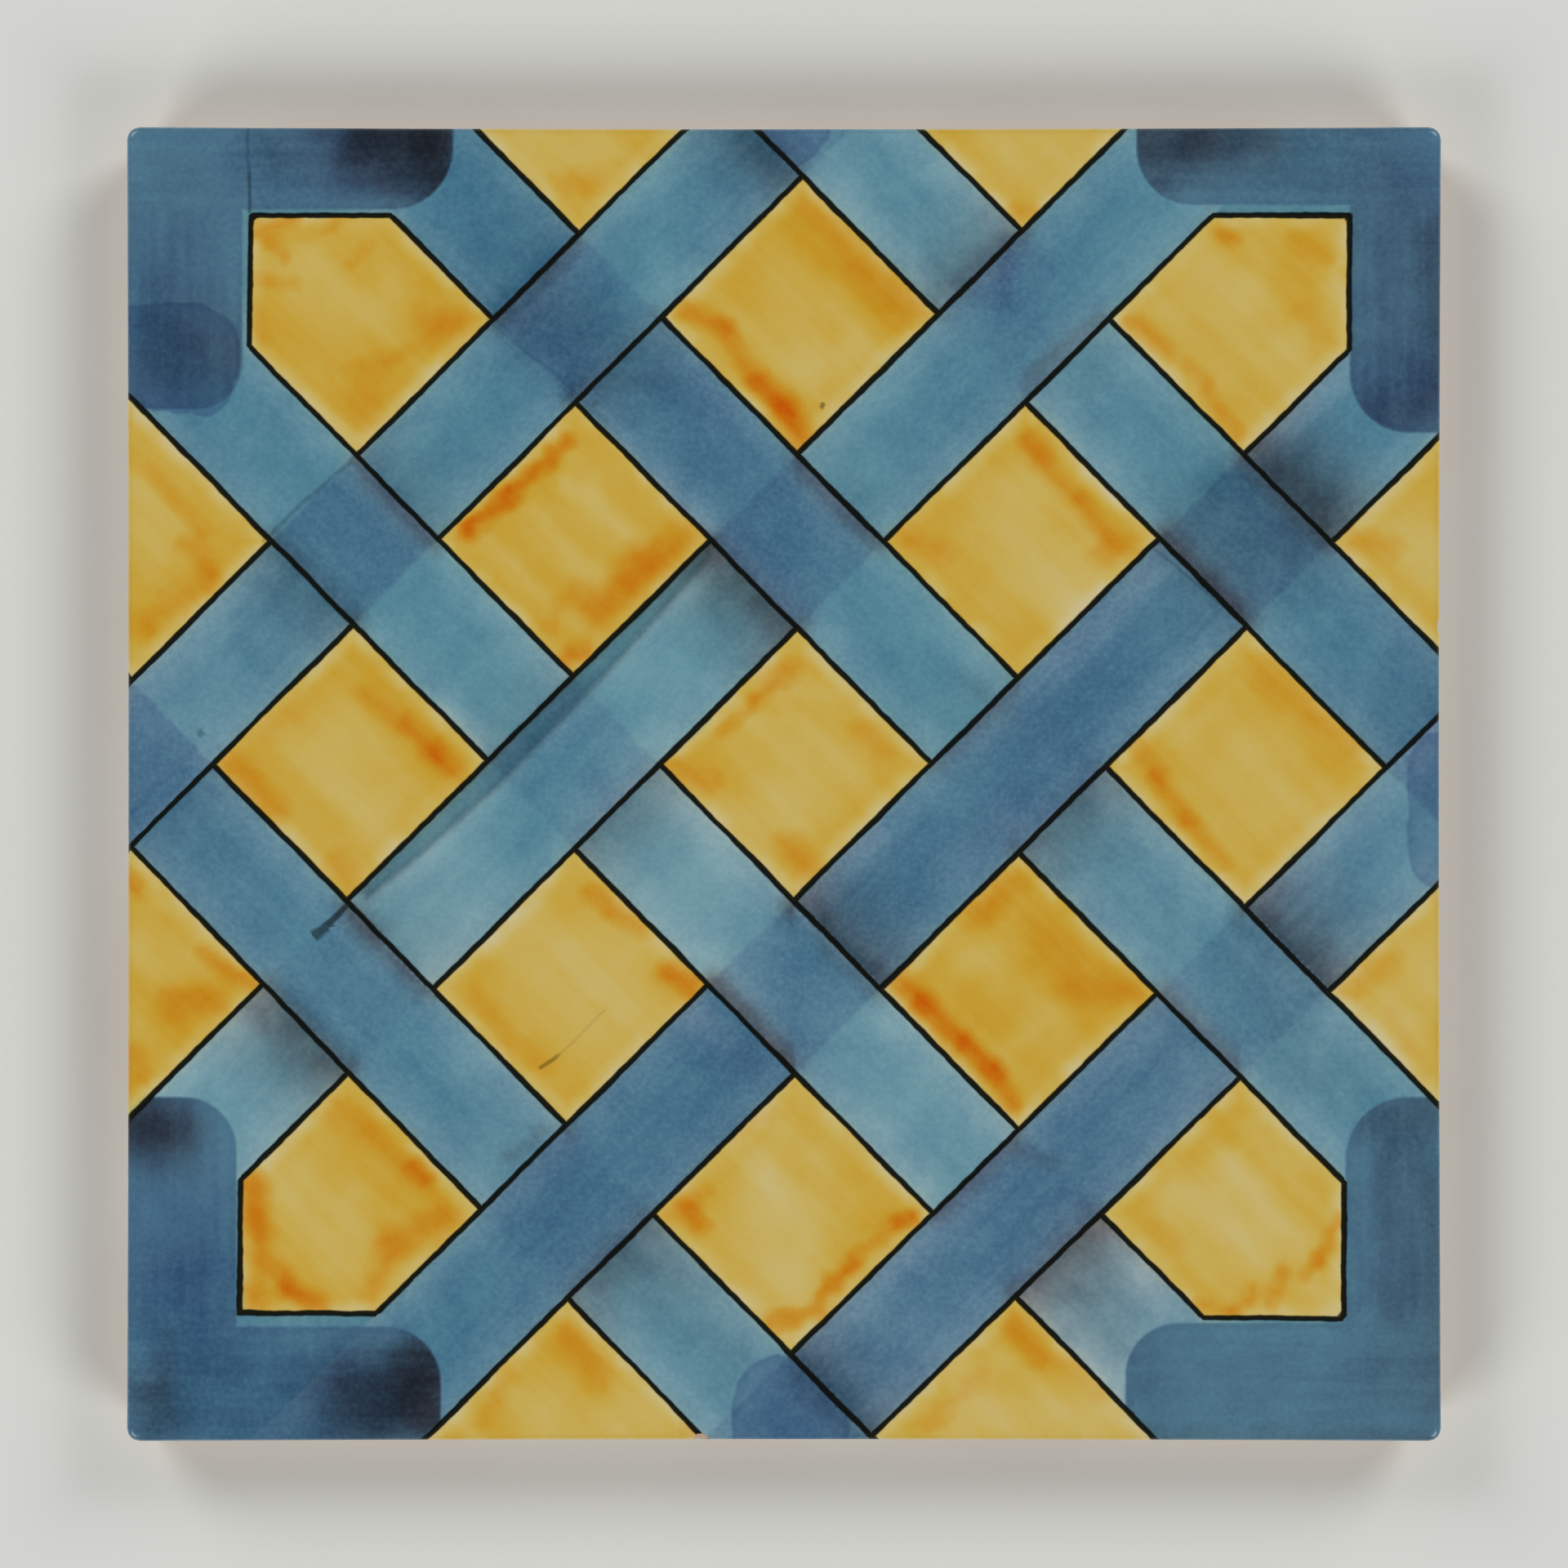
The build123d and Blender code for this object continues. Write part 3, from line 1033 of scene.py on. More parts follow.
    orange: tuple[Mark, ...] = (
        (-80, 84, -74, 86, 3.2, 0.45), (-78, 82, -76, 80, 2.4, 0.45), (-70, 84, -67, 86, 2.2, 0.40),
        (-66, 79, -63, 82, 2.6, 0.25), (-80, 77, -74, 76, 2.2, 0.30), (-80, 72, -79, 68, 3.0, 0.25),
        (-54, 71, -49, 70, 5.0, 0.35), (-64, 62, -63, 56, 6.0, 0.30), (-60, 64, -52, 69, 4.0, 0.22),
        (-33, 91, -29, 92, 4.5, 0.25), (-15, 72, -9, 69, 3.4, 0.55), (-9, 69, -4, 61, 3.0, 0.45),
        (-4, 61, 0, 57, 3.2, 0.75), (0, 57, 3, 52, 4.5, 0.80), (12, 79, 20, 72, 6.0, 0.35),
        (3, 88, 9, 83, 4.5, 0.30), (35, 87, 38, 87, 2.6, 0.40), (66, 84, 68, 83, 3.0, 0.50),
        (78, 82, 82, 80, 5.0, 0.20), (79, 72, 81, 69, 5.0, 0.20), (53, 70, 58, 66, 3.4, 0.45),
        (61, 64, 64, 61, 2.6, 0.35), (64, 60, 69, 53, 2.6, 0.42), (87, 37, 92, 36, 5.0, 0.30),
        (-48, 38, -42, 44, 3.0, 0.85), (-48, 38.5, -47, 39.5, 2.6, 0.60),
        (-42, 44, -33, 52, 2.8, 0.70), (-28, 27, -21, 34, 6.0, 0.60), (-15, 38, -19, 33, 5.0, 0.35),
        (-33, 19, -30, 20, 4.0, 0.60), (-36, 24, -32, 30, 3.0, 0.25), (-96, 47, -88, 38, 3.4, 0.28),
        (-90, 36, -87, 32, 4.0, 0.35), (-96, 25, -88, 30, 5.0, 0.30), (37, 52, 39, 50, 3.8, 0.65),
        (40, 48, 44, 44, 3.0, 0.35), (45, 43, 49, 37, 3.0, 0.50), (48, 35, 52, 36, 4.5, 0.35),
        (18, 38, 24, 35, 4.5, 0.35), (-64, 14, -58, 9, 3.2, 0.40), (-58, 9, -53, 5, 2.8, 0.55),
        (-53, 5, -50, 2, 4.0, 0.50), (-84, 3, -78, -4, 6.0, 0.45), (-68, -12, -66, -15, 5.0, 0.30),
        (-79, 8, -74, 12, 5.0, 0.20), (-18, 3, -11, 0, 4.5, 0.40), (-9, 8, -5, 12, 2.6, 0.35),
        (-4, 13, 1, 18, 3.6, 0.45), (1, -9, 4, -13, 5.0, 0.40), (12, 8, 15, 5, 5.0, 0.28),
        (53, 7, 57, 2, 3.4, 0.35), (57, 1, 61, -5, 3.0, 0.40), (61, -5, 67, -12, 3.0, 0.32),
        (73, 17, 86, 6, 6.0, 0.28), (-17, -29, -14, -31, 4.5, 0.80),
        (-29, -17, -22, -22, 3.6, 0.45), (-47, -32, -44, -35, 4.0, 0.25),
        (-42, -39, -36, -43, 5.0, 0.20), (17.5, -29.5, 21, -33.5, 3.4, 0.75),
        (21, -33.5, 27, -39.5, 3.2, 0.85), (27, -39.5, 31.5, -43.5, 3.2, 0.95),
        (31.5, -43.5, 35, -49, 3.0, 0.65),
        (29, -19, 34, -15, 6.5, 0.35), (44, -31, 53, -31, 6.0, 0.38), (38, -22, 44, -26, 6.0, 0.20),
        (-100, -14, -98, -16, 3.4, 0.50), (-88, -26, -81, -30, 3.0, 0.50),
        (-93, -33, -87, -33, 6.0, 0.40), (-99, -41, -98, -44, 4.0, 0.35),
        (-81, -61, -80, -68, 4.6, 0.82), (-80, -72, -76, -75, 3.6, 0.55),
        (-75, -77, -71, -79, 3.4, 0.80), (-81, -77, -80, -79, 4.0, 0.40),
        (-68, -50, -63, -53, 5.0, 0.28), (-61, -56, -57, -59, 4.0, 0.25),
        (-56, -58, -54, -60, 3.2, 0.60), (-60, -70, -52, -66, 5.5, 0.45),
        (-63, -77, -60, -72, 4.0, 0.30), (-15, -64, -13, -67, 3.2, 0.65),
        (-18, -66, -12, -62, 4.0, 0.25), (-8, -54, -2, -50, 3.0, 0.20),
        (17.5, -66.5, 19.5, -66, 2.8, 0.90), (15, -68, 10, -73, 3.0, 0.38),
        (10, -73, 6, -78, 2.8, 0.60),
        (5, -80, -2, -82, 3.0, 0.60), (84, -66, 81, -72, 2.6, 0.50), (81, -72, 79, -75, 2.2, 0.30),
        (71, -77, 68, -80, 2.8, 0.50), (76, -74, 74, -79, 2.6, 0.40), (63, -79, 68, -81, 3.0, 0.35),
        (56, -67, 60, -70, 4.0, 0.22), (86, -31, 92, -27, 5.0, 0.25), (92, -35, 97, -44, 4.0, 0.15),
        (-33, -84, -29, -89, 5.5, 0.42), (-42, -90, -46, -97, 4.0, 0.22),
        (-15, -98, -8, -99, 3.0, 0.30), (35, -82, 39, -87, 4.0, 0.42),
        (30, -90, 22, -97, 3.6, 0.28), (42, -88, 48, -93, 4.0, 0.25),
    )
    pale: tuple[Mark, ...] = (
        (-79, 64, -67, 52, 2.5, 0.45), (-64, 52, -48, 68, 2.5, 0.45), (-97, 56, -83, 42, 3.0, 0.55),
        (-60, 74, -56, 71, 5.0, 0.30), (-33, 27, -30, 23, 2.6, 0.35), (72, -52, 78, -58, 4.0, 0.30),
        (57, -66, 65, -74, 4.0, 0.35), (26, -94, 33, -87, 3.5, 0.35), (84, 83, 84, 75, 2.5, 0.35),
        (44, 50, 54, 40, 2.0, 0.35), (59, 66, 65, 60, 2.6, 0.25), (-49, -64, -46, -64, 3.0, 0.30),
        (-72, 76, -66, 72, 10.0, 0.35), (-28, 97, -38, 98, 10.0, 0.45), (2, 74, 2, 67, 9.0, 0.40),
        (6, 63, 12, 66, 7.0, 0.50), (34, 96, 42, 97, 11.0, 0.55), (62, 74, 76, 66, 14.0, 0.50),
        (62, 80, 70, 76, 7.0, 0.25),
        (83, 78, 83, 70, 3.0, 0.40), (-33, 46, -22, 37, 3.0, 0.55), (-38, 42, -28, 28, 2.6, 0.40),
        (-42, 34, -34, 26, 3.0, 0.25), (-98, 42, -94, 36, 8.0, 0.50), (34, 40, 40, 32, 15.0, 0.62),
        (46, 47, 50, 43, 3.0, 0.45), (42, 26, 48, 30, 4.0, 0.35), (-68, 6, -62, -2, 12.0, 0.60),
        (4, 6, 0, -6, 17.0, 0.52), (-2, 16, 6, 14, 4.0, 0.35), (70, 5, 74, -3, 14.0, 0.48),
        (60, 8, 66, 12, 4.0, 0.35), (94, 38, 98, 32, 11.0, 0.55), (-34, -27, -24, -33, 16.0, 0.68),
        (-44, -24, -38, -18, 3.0, 0.45), (26, -28, 34, -24, 5.0, 0.45),
        (34, -40, 42, -34, 4.0, 0.45), (44, -44, 50, -38, 3.0, 0.40),
        (-98, -24, -92, -28, 6.0, 0.45), (-74, -62, -66, -70, 12.0, 0.55),
        (-2, -60, 2, -74, 15.0, 0.65), (60, -62, 72, -72, 4.0, 0.50), (68, -58, 78, -70, 4.5, 0.50),
        (66, -60, 76, -72, 18.0, 0.32),
        (80, -76, 83, -79, 3.0, 0.40), (97, -28, 93, -36, 11.0, 0.60),
        (-36, -96, -22, -97, 11.0, 0.50), (28, -97, 46, -96, 11.0, 0.60),
    )
    thick_yellow: tuple[Mark, ...] = (
        (-1, 86, 3, 80, 7.0, 0.35), (78, -70, 82, -76, 5.0, 0.25), (44, -18, 36, -28, 6.0, 0.20),
        (-78, 82, -66, 86, 4.0, 0.30), (-54, 74, -50, 70, 7.0, 0.40), (-66, 60, -58, 64, 7.0, 0.35),
        (-79, 74, -79, 68, 5.0, 0.20), (-88, 34, -94, 28, 8.0, 0.25), (-98, 50, -90, 42, 5.0, 0.25),
        (-42, 36, -34, 28, 4.0, 0.30), (-28, 24, -16, 36, 8.0, 0.35), (-34, 50, -46, 40, 4.0, 0.30),
        (8, 78, 14, 72, 9.0, 0.40), (4, 86, 10, 82, 5.0, 0.25), (32, 52, 37, 54, 9.0, 0.30),
        (18, 37, 26, 30, 9.0, 0.30), (32, 22, 40, 22, 8.0, 0.25), (50, 38, 46, 44, 6.0, 0.30),
        (78, 72, 84, 68, 8.0, 0.30), (78, 82, 82, 78, 6.0, 0.25), (64, 66, 70, 58, 7.0, 0.20),
        (-64, 18, -54, 6, 7.0, 0.35), (-84, 4, -78, -4, 7.0, 0.25), (-34, -20, -28, -16, 8.0, 0.30),
        (-48, -32, -40, -42, 6.0, 0.25), (-20, -30, -16, -34, 6.0, 0.30),
        (-92, -34, -84, -30, 6.0, 0.35),
        (-98, -42, -92, -38, 5.0, 0.25), (28, -20, 36, -14, 9.0, 0.40), (40, -22, 50, -32, 10.0, 0.45),
        (22, -30, 34, -46, 6.0, 0.25), (-82, -60, -80, -78, 4.0, 0.30), (-76, -78, -64, -78, 4.0, 0.25),
        (-62, -56, -52, -66, 7.0, 0.40), (-66, -50, -60, -54, 5.0, 0.25),
        (-12, -66, -8, -56, 6.0, 0.30),
        (14, -66, 6, -78, 5.0, 0.25), (58, -56, 66, -52, 7.0, 0.25), (66, 12, 76, 16, 7.0, 0.25),
        (84, 6, 78, 10, 6.0, 0.20), (-34, -84, -28, -90, 6.0, 0.30), (36, -84, 42, -90, 5.0, 0.25),
        (4, 12, 10, 8, 5.0, 0.25), (0, -12, 6, -10, 6.0, 0.30), (-14, 4, -8, 0, 6.0, 0.20),
    )
    scratches: tuple[Mark, ...] = (
        (-66.0, -18.0, -69.6, -21.4, 0.46, 0.80), (-69.5, -21.7, -71.3, -23.1, 0.80, 0.70),
        (-81.4, 93.0, -81.3, 87.0, 0.30, 0.50), (-81.5, 100.0, -81.4, 93.2, 0.26, 0.25),
        (-37.0, -43.2, -34.0, -41.0, 0.30, 0.50), (-34.0, -41.0, -27.0, -34.5, 0.20, 0.14),
        (-65.5, 49.5, -79.0, 37.0, 0.34, 0.30), (5.9, 57.0, 6.1, 57.6, 0.35, 0.60),
        (-88.8, 7.4, -88.4, 7.8, 0.60, 0.35), (-45.0, 70.5, -31.0, 59.0, 0.20, 0.18),
        (56.0, 36.0, 70.0, 24.5, 0.25, 0.25), (-29.0, 57.5, -28.4, 58.0, 0.40, 0.30),
    )
    scratch_half_width: float = 0.25
    strip_line: int = 5
    strip_ends: tuple[float, float] = (-60.0, 15.0)
    strip_places: tuple[float, ...] = (-60.0, -50.0, -34.0, -10.0, 12.0, 16.0)
    strip_widths: tuple[float, ...] = (1.8, 2.8, 3.6, 3.1, 1.8, 0.0)
    strip_coat: float = 0.38
    strip_softness: float = 0.5
    strip_rim: float = 0.42
    strip_rim_width: float = 0.6
    base_yellow: float = 1.56
    pale_share: float = 0.92
    thick_share: float = 0.85
    least_yellow: float = 0.5
    orange_softness: float = 0.50
    orange_floor: float = 0.06
    bar_base_cobalt: float = 0.20
    bar_base_pools: float = 0.08
    slow: Wave = Wave(8.0, 21.0)
    slower: Wave = Wave(14.0, 22.0)
    mottle: Wave = Wave(6.5, 23.0)
    patches: Wave = Wave(4.2, 24.0)
    fine: Wave = Wave(2.4, 26.0)
    streaks: Wave = Wave(5.5, 27.0)
    streak_stretch: float = 8.0
    firing: Wave = Wave(24.0, 25.0)
    stray: float = 0.9
    fine_stray: float = 0.6
    orange_stray: float = 0.7
    orange_trickle: float = 0.5
    dab_stray: float = 0.4
    pool_stray: float = 1.3
    scratch_stray: float = 0.3
    line_waver: float = 0.13
    box_waver: float = 0.10
    patch_levels: tuple[float, float] = (-0.35, 0.35)
    wash_unevenness: Share = Share(mottle=0.06, patches=0.04, fine=0.03)
    cobalt_unevenness: Share = Share(slow=0.14)
    cobalt_mottle: Share = Share(mottle=0.09, patches=0.06, fine=0.05)
    shade_unevenness: Share = Share(patches=0.30, fine=0.15)
    overlap_unevenness: Share = Share(slow=0.2)
    yellow_unevenness: Share = Share(mottle=0.12, patches=0.08, streaks=0.24)
    orange_unevenness: Share = Share(patches=0.25)
    edge_patches: Share = Share(slower=0.5, patches=1.0)
    bar_unevenness: Share = Share(patches=0.16)
    line_thickening: Share = Share(slower=0.07, mottle=0.05)

    def hand(self, places: np.ndarray) -> Hand:
        """Reads how the hand wandered, with streaks that run along the falling bands.

        Args:
            places: places on the tile, one row of x, y and z each.

        Returns:
            The unevenness at each place.
        """
        x, y = places[:, 0], places[:, 1]
        brushing = np.stack([(y - x) / self.streak_stretch, x + y, np.zeros(len(places))], axis=1)
        waves = (self.slow, self.slower, self.mottle, self.patches, self.fine)
        return Hand(*(wave.at(places) for wave in waves), self.streaks.at(brushing))

    def drift(self, hand: Hand) -> np.ndarray:
        """Finds how far the melting glaze carried the paint.

        Args:
            hand: how the hand wandered.

        Returns:
            The way along X and along Y, one row each.
        """
        along_x = hand.patches + self.fine_stray * hand.fine
        along_y = hand.mottle - self.fine_stray * hand.fine
        return self.stray * np.stack([along_x, along_y], axis=1)

    def strip_edge(self, points: np.ndarray) -> np.ndarray:
        """Distance from the strip that was painted twice, below the outline of one band.

        Args:
            points: places on the face, one row of x and y each.

        Returns:
            The distance at each place, below nought within the strip.
        """
        falls, rises = self.lattice.read(points)
        up = falls * self.lattice.pitch
        depth = (self.lattice.rising[self.strip_line].level - rises) * self.lattice.pitch
        width = np.interp(up, self.strip_places, self.strip_widths)
        start, end = self.strip_ends
        beyond = np.maximum(up - end, start - up)
        return np.maximum(np.maximum(depth - width, -depth), beyond)

    def blue_work(self, points: np.ndarray, hand: Hand) -> tuple[np.ndarray, ...]:
        """Reckons the blue coats and the shading of the bands.

        Args:
            points: places on the face, one row of x and y each.
            hand: how the hand wandered there.

        Returns:
            The wash, the cobalt, the shading, and the second coat where bands overlap.
        """
        bent = points + self.drift(hand)
        wash, cobalt, overlap, shade = self.lattice.coats(points)
        wash = wash + brushed(bent, self.wash_marks)
        wash = wash * (1.0 + hand.uneven(self.wash_unevenness))
        cobalt = cobalt + brushed(bent, self.cobalt_marks)
        cobalt = cobalt * (1.0 + hand.uneven(self.cobalt_unevenness)) + hand.uneven(self.cobalt_mottle)
        shade = shade + brushed(bent, self.shading)
        shade = shade * (1.0 + hand.uneven(self.shade_unevenness))
        strip = self.strip_edge(points)
        twice = self.strip_coat * smooth_step(self.strip_softness, -self.strip_softness, strip)
        rim = self.strip_rim * np.exp(-((strip / self.strip_rim_width) ** 2))
        overlap = overlap * (1.0 + hand.uneven(self.overlap_unevenness))
        return wash + twice, cobalt, shade + twice + rim, overlap

    def warm_work(self, points: np.ndarray, hand: Hand) -> tuple[np.ndarray, np.ndarray]:
        """Reckons the yellow and the orange of the cells.

        Args:
            points: places on the face, one row of x and y each.
            hand: how the hand wandered there.

        Returns:
            The yellow and the orange.
        """
        drift = self.drift(hand)
        bent = points + drift
        trickle = self.orange_trickle * np.stack([hand.fine, -hand.fine], axis=1)
        trickled = points + self.orange_stray * drift + trickle
        orange = brushed(trickled, self.orange, self.orange_softness)
        orange = orange * (1.0 + hand.uneven(self.orange_unevenness)) - self.orange_floor
        pale, thick = brushed(bent, self.pale), brushed(bent, self.thick_yellow)
        yellow = self.base_yellow - self.pale_share * pale + self.thick_share * thick
        yellow = yellow * (1.0 + hand.uneven(self.yellow_unevenness))
        return np.maximum(yellow, self.least_yellow), orange

    def broad_work(
        self, points: np.ndarray, hand: Hand, off_falling: np.ndarray
    ) -> tuple[np.ndarray, ...]:
        """Finds the broad strokes and the second coats.

        Args:
            points: places on the face, one row of x and y each.
            hand: how the hand wandered there.
            off_falling: distance from the falling bands, which two of the second coats keep to.

        Returns:
            Distances from the level strokes, the upright strokes and the second coats.
        """
        drift = self.drift(hand)
        level, upright = (
            np.min([stroke.distance(points) for stroke in strokes], axis=0)
            for strokes in (self.level_strokes, self.upright_strokes)
        )
        pool, *others = self.second_coats
        pooled = pool.distance(points + self.pool_stray * drift)
        top, bottom, right = (stroke.distance(points + self.dab_stray * drift) for stroke in others)
        dabs = np.maximum(np.minimum(top, bottom), off_falling)
        return level, upright, np.min([pooled, right, dabs], axis=0)

    def layers(self, places: np.ndarray) -> dict[str, tuple]:
        """Reckons what the brushes left at each place, with its slow unevenness.

        Args:
            places: places on the tile, one row of x, y and z each.

        Returns:
            Three numbers a place under each name.
        """
        points, hand, lattice = places[:, :2], self.hand(places), self.lattice
        drift = self.drift(hand)
        bent = points + drift
        levels = lattice.read(points)
        off_falling, off_rising = (
            lattice.outside_band(level + self.line_waver * waver / lattice.pitch)
            for level, waver in zip(levels, (hand.slow, hand.slower), strict=True)
        )
        off_box = lattice.outside_box(points, levels) + self.box_waver * hand.slow
        wash, cobalt, shade, overlap = self.blue_work(points, hand)
        yellow, orange = self.warm_work(points, hand)
        patchy = smooth_step(*self.patch_levels, hand.uneven(self.edge_patches))
        uneven = 1.0 + hand.uneven(self.bar_unevenness)
        bar_cobalt = (self.bar_base_cobalt + brushed(bent, self.bar_cobalt)) * uneven
        bar_pools = (self.bar_base_pools + brushed(bent, self.bar_pools)) * uneven
        seen_rising = lattice.on_rising(levels) & (np.minimum(off_falling, off_rising) < 0.0)
        scratch_points = points + self.scratch_stray * drift
        return {
            "outline": (off_falling, off_rising, off_box),
            "weave": (lattice.rising_above(levels), seen_rising, overlap),
            "washes": (wash, cobalt, shade),
            "warmth": (yellow, orange, patchy),
            "strokes": self.broad_work(points, hand, off_falling),
            "pools": (bar_cobalt, bar_pools, hand.uneven(self.line_thickening)),
            "marks": scratched(scratch_points, self.scratches, self.scratch_half_width),
        }

    def lay_on(self, data: bpy.types.Mesh, slab: PressedSlab) -> None:
        """Writes what the brushes left to the mesh, for the material to read.

        Args:
            data: the tile's mesh, in metres.
            slab: the slab it was built from, which knows its glaze line and its chips.
        """
        places = np.zeros(len(data.vertices) * 3)
        data.vertices.foreach_get("co", places)
        places = places.reshape(-1, 3) / METRES
        layers = self.layers(places)
        layers["clay"] = (slab.glaze_margin, slab.chipped, self.firing.at(places))
        for name, parts in layers.items():
            layer = data.attributes.new(name, "FLOAT_VECTOR", "POINT")
            layer.data.foreach_set("vector", np.stack(parts, axis=1).astype(float).ravel())


@dataclass(frozen=True)
class Fade:
    """A soft switch: the levels where it is nought and one, and how much it then counts."""

    nought: float
    one: float
    strength: float = 1.0


class Signal:
    """A number that flows through a material's nodes, and can be reckoned with."""

    def __init__(self, sheet: "NodeSheet", socket: bpy.types.NodeSocket) -> None:
        """Keeps the node's output and the sheet that it is on."""
        self.sheet = sheet
        self.socket = socket

    def __add__(self, other: "Signal | float") -> "Signal":
        """The sum of two signals."""
        return self.sheet.math("ADD", self, other)

    def __sub__(self, other: "Signal | float") -> "Signal":
        """The difference of two signals."""
        return self.sheet.math("SUBTRACT", self, other)

    def __mul__(self, other: "Signal | float") -> "Signal":
        """The product of two signals."""
        return self.sheet.math("MULTIPLY", self, other)

    def __rsub__(self, other: float) -> "Signal":
        """A number less the signal."""
        return self.sheet.math("SUBTRACT", other, self)

    def __abs__(self) -> "Signal":
        """The signal without its sign."""
        return self.sheet.math("ABSOLUTE", self)

    def least(self, other: "Signal | float") -> "Signal":
        """The lesser of two signals."""
        return self.sheet.math("MINIMUM", self, other)

    def most(self, other: "Signal | float") -> "Signal":
        """The greater of two signals."""
        return self.sheet.math("MAXIMUM", self, other)

    def distance(self, other: "Signal") -> "Signal":
        """Length of the slope over this signal and another at right angles to it."""
        return self.sheet.math("SQRT", self * self + other * other)

    def above(self, level: "Signal | float") -> "Signal":
        """One where the signal is above a level, and nought elsewhere."""
        return self.sheet.math("GREATER_THAN", self, level)

    def faded(self, fade: Fade) -> "Signal":
        """Switches the signal on softly.

        Args:
            fade: the levels and the strength of the switch.

        Returns:
            Numbers from nought to the strength.
        """
        share = self.sheet.step(self, fade.nought, fade.one)
        return share if fade.strength == 1.0 else share * fade.strength

    def inverse(self) -> "Signal":
        """One less the signal."""
        return 1.0 - self


class NodeSheet:
    """Lays out the nodes of one material."""

    def __init__(self, material: bpy.types.Material) -> None:
        """Clears the material's nodes and starts with places on the tile in millimetres.

        Args:
            material: the material that the nodes are for.
        """
        material.use_nodes = True
        self.tree = material.node_tree
        self.tree.nodes.clear()
        coordinates = self.node("ShaderNodeTexCoord")
        self.places = self.scaled(coordinates.outputs["Object"], (1000.0, 1000.0, 1000.0))
        self.x, self.y, self.z = self.split(self.places)

    def node(self, kind: str) -> bpy.types.Node:
        """Adds a node."""
        return self.tree.nodes.new(kind)

    def feed(self, socket: bpy.types.NodeSocket, value: object) -> None:
        """Links a signal or an output to a socket, or sets the socket to a plain value.

        Args:
            socket: the socket that takes it.
            value: a signal, an output or a plain value.
        """
        if isinstance(value, Signal):
            self.tree.links.new(value.socket, socket)
        elif isinstance(value, bpy.types.NodeSocket):
            self.tree.links.new(value, socket)
        else:
            socket.default_value = value

    def math(self, operation: str, *values: Signal | float) -> Signal:
        """Reckons with signals.

        Args:
            operation: the math node's operation.
            values: what it works on.

        Returns:
            The result.
        """
        node = self.node("ShaderNodeMath")
        node.operation = operation
        for socket, value in zip(node.inputs, values, strict=False):
            self.feed(socket, value)
        return Signal(self, node.outputs["Value"])

    def step(self, value: Signal, low: float, high: float) -> Signal:
        """A soft switch from nought to one.

        Args:
            value: the signal to switch on.
            low: where the result is nought.
            high: where the result is one.

        Returns:
            Shares from nought to one.
        """
        node = self.node("ShaderNodeMapRange")
        node.interpolation_type = "SMOOTHSTEP"
        self.feed(node.inputs["Value"], value)
        node.inputs["From Min"].default_value = low
        node.inputs["From Max"].default_value = high
        return Signal(self, node.outputs["Result"])

    def split(self, vector: bpy.types.NodeSocket) -> tuple[Signal, Signal, Signal]:
        """The three parts of a vector.

        Args:
            vector: the output that carries it.

        Returns:
            A signal for each part.
        """
        node = self.node("ShaderNodeSeparateXYZ")
        self.feed(node.inputs["Vector"], vector)
        return tuple(Signal(self, output) for output in node.outputs)

    def attribute(self, name: str) -> tuple[Signal, Signal, Signal]:
        """The three numbers that the mesh keeps under a name.

        Args:
            name: the attribute's name.

        Returns:
            A signal for each number.
        """
        node = self.node("ShaderNodeAttribute")
        node.attribute_name = name
        return self.split(node.outputs["Vector"])

    def scaled(self, vector: object, sizes: tuple[float, float, float]) -> bpy.types.NodeSocket:
        """A vector with each part multiplied by a number.

        Args:
            vector: the output that carries it.
            sizes: the three numbers.

        Returns:
            The output with the result.
        """
        node = self.node("ShaderNodeVectorMath")
        node.operation = "MULTIPLY"
        self.feed(node.inputs[0], vector)
        self.feed(node.inputs[1], sizes)
        return node.outputs["Vector"]

    def joined(self, x: Signal | float, y: Signal | float, z: Signal | float) -> object:
        """A vector of three signals.

        Args:
            x: its first part.
            y: its second part.
            z: its third part.

        Returns:
            The output that carries it.
        """
        node = self.node("ShaderNodeCombineXYZ")
        for socket, value in zip(node.inputs, (x, y, z), strict=True):
            self.feed(socket, value)
        return node.outputs["Vector"]

    def noise(
        self,
        wavelengths: tuple[float, float, float],
        seed: float,
        octaves: float = 2.0,
        places: object = None,
    ) -> Signal:
        """Smooth unevenness about nought.

        Args:
            wavelengths: size of the unevenness along X, Y and Z.
            seed: moves the pattern.
            octaves: how much finer unevenness it has.
            places: where it is read, in millimetres; places on the tile if not given.

        Returns:
            Numbers from about minus one to one.
        """
        shift = self.node("ShaderNodeVectorMath")
        shift.operation = "MULTIPLY_ADD"
        self.feed(shift.inputs[0], self.places if places is None else places)
        shift.inputs[1].default_value = tuple(1.0 / size for size in wavelengths)
        shift.inputs[2].default_value = (seed * 7.3, seed * -4.1, seed * 2.9)
        node = self.node("ShaderNodeTexNoise")
        node.inputs["Scale"].default_value = 1.0
        node.inputs["Detail"].default_value = octaves
        self.feed(node.inputs["Vector"], shift.outputs["Vector"])
        return (Signal(self, node.outputs["Fac"]) - 0.5) * 3.2

    def mixed(self, low: object, high: object, share: Signal | float) -> bpy.types.NodeSocket:
        """A colour between two others."""
        return self.blended("MIX", low, high, share)

    def blended(self, mode: str, low: object, high: object, share: object) -> object:
        """Two colours put together.

        Args:
            mode: how the mix node puts them together.
            low: the first colour.
            high: the second colour.
            share: how much the second one counts.

        Returns:
            The output with the new colour.
        """
        node = self.node("ShaderNodeMix")
        node.data_type = "RGBA"
        node.blend_type = mode
        self.feed(node.inputs["Factor"], share)
        self.feed(node.inputs["A"], low)
        self.feed(node.inputs["B"], high)
        return node.outputs["Result"]

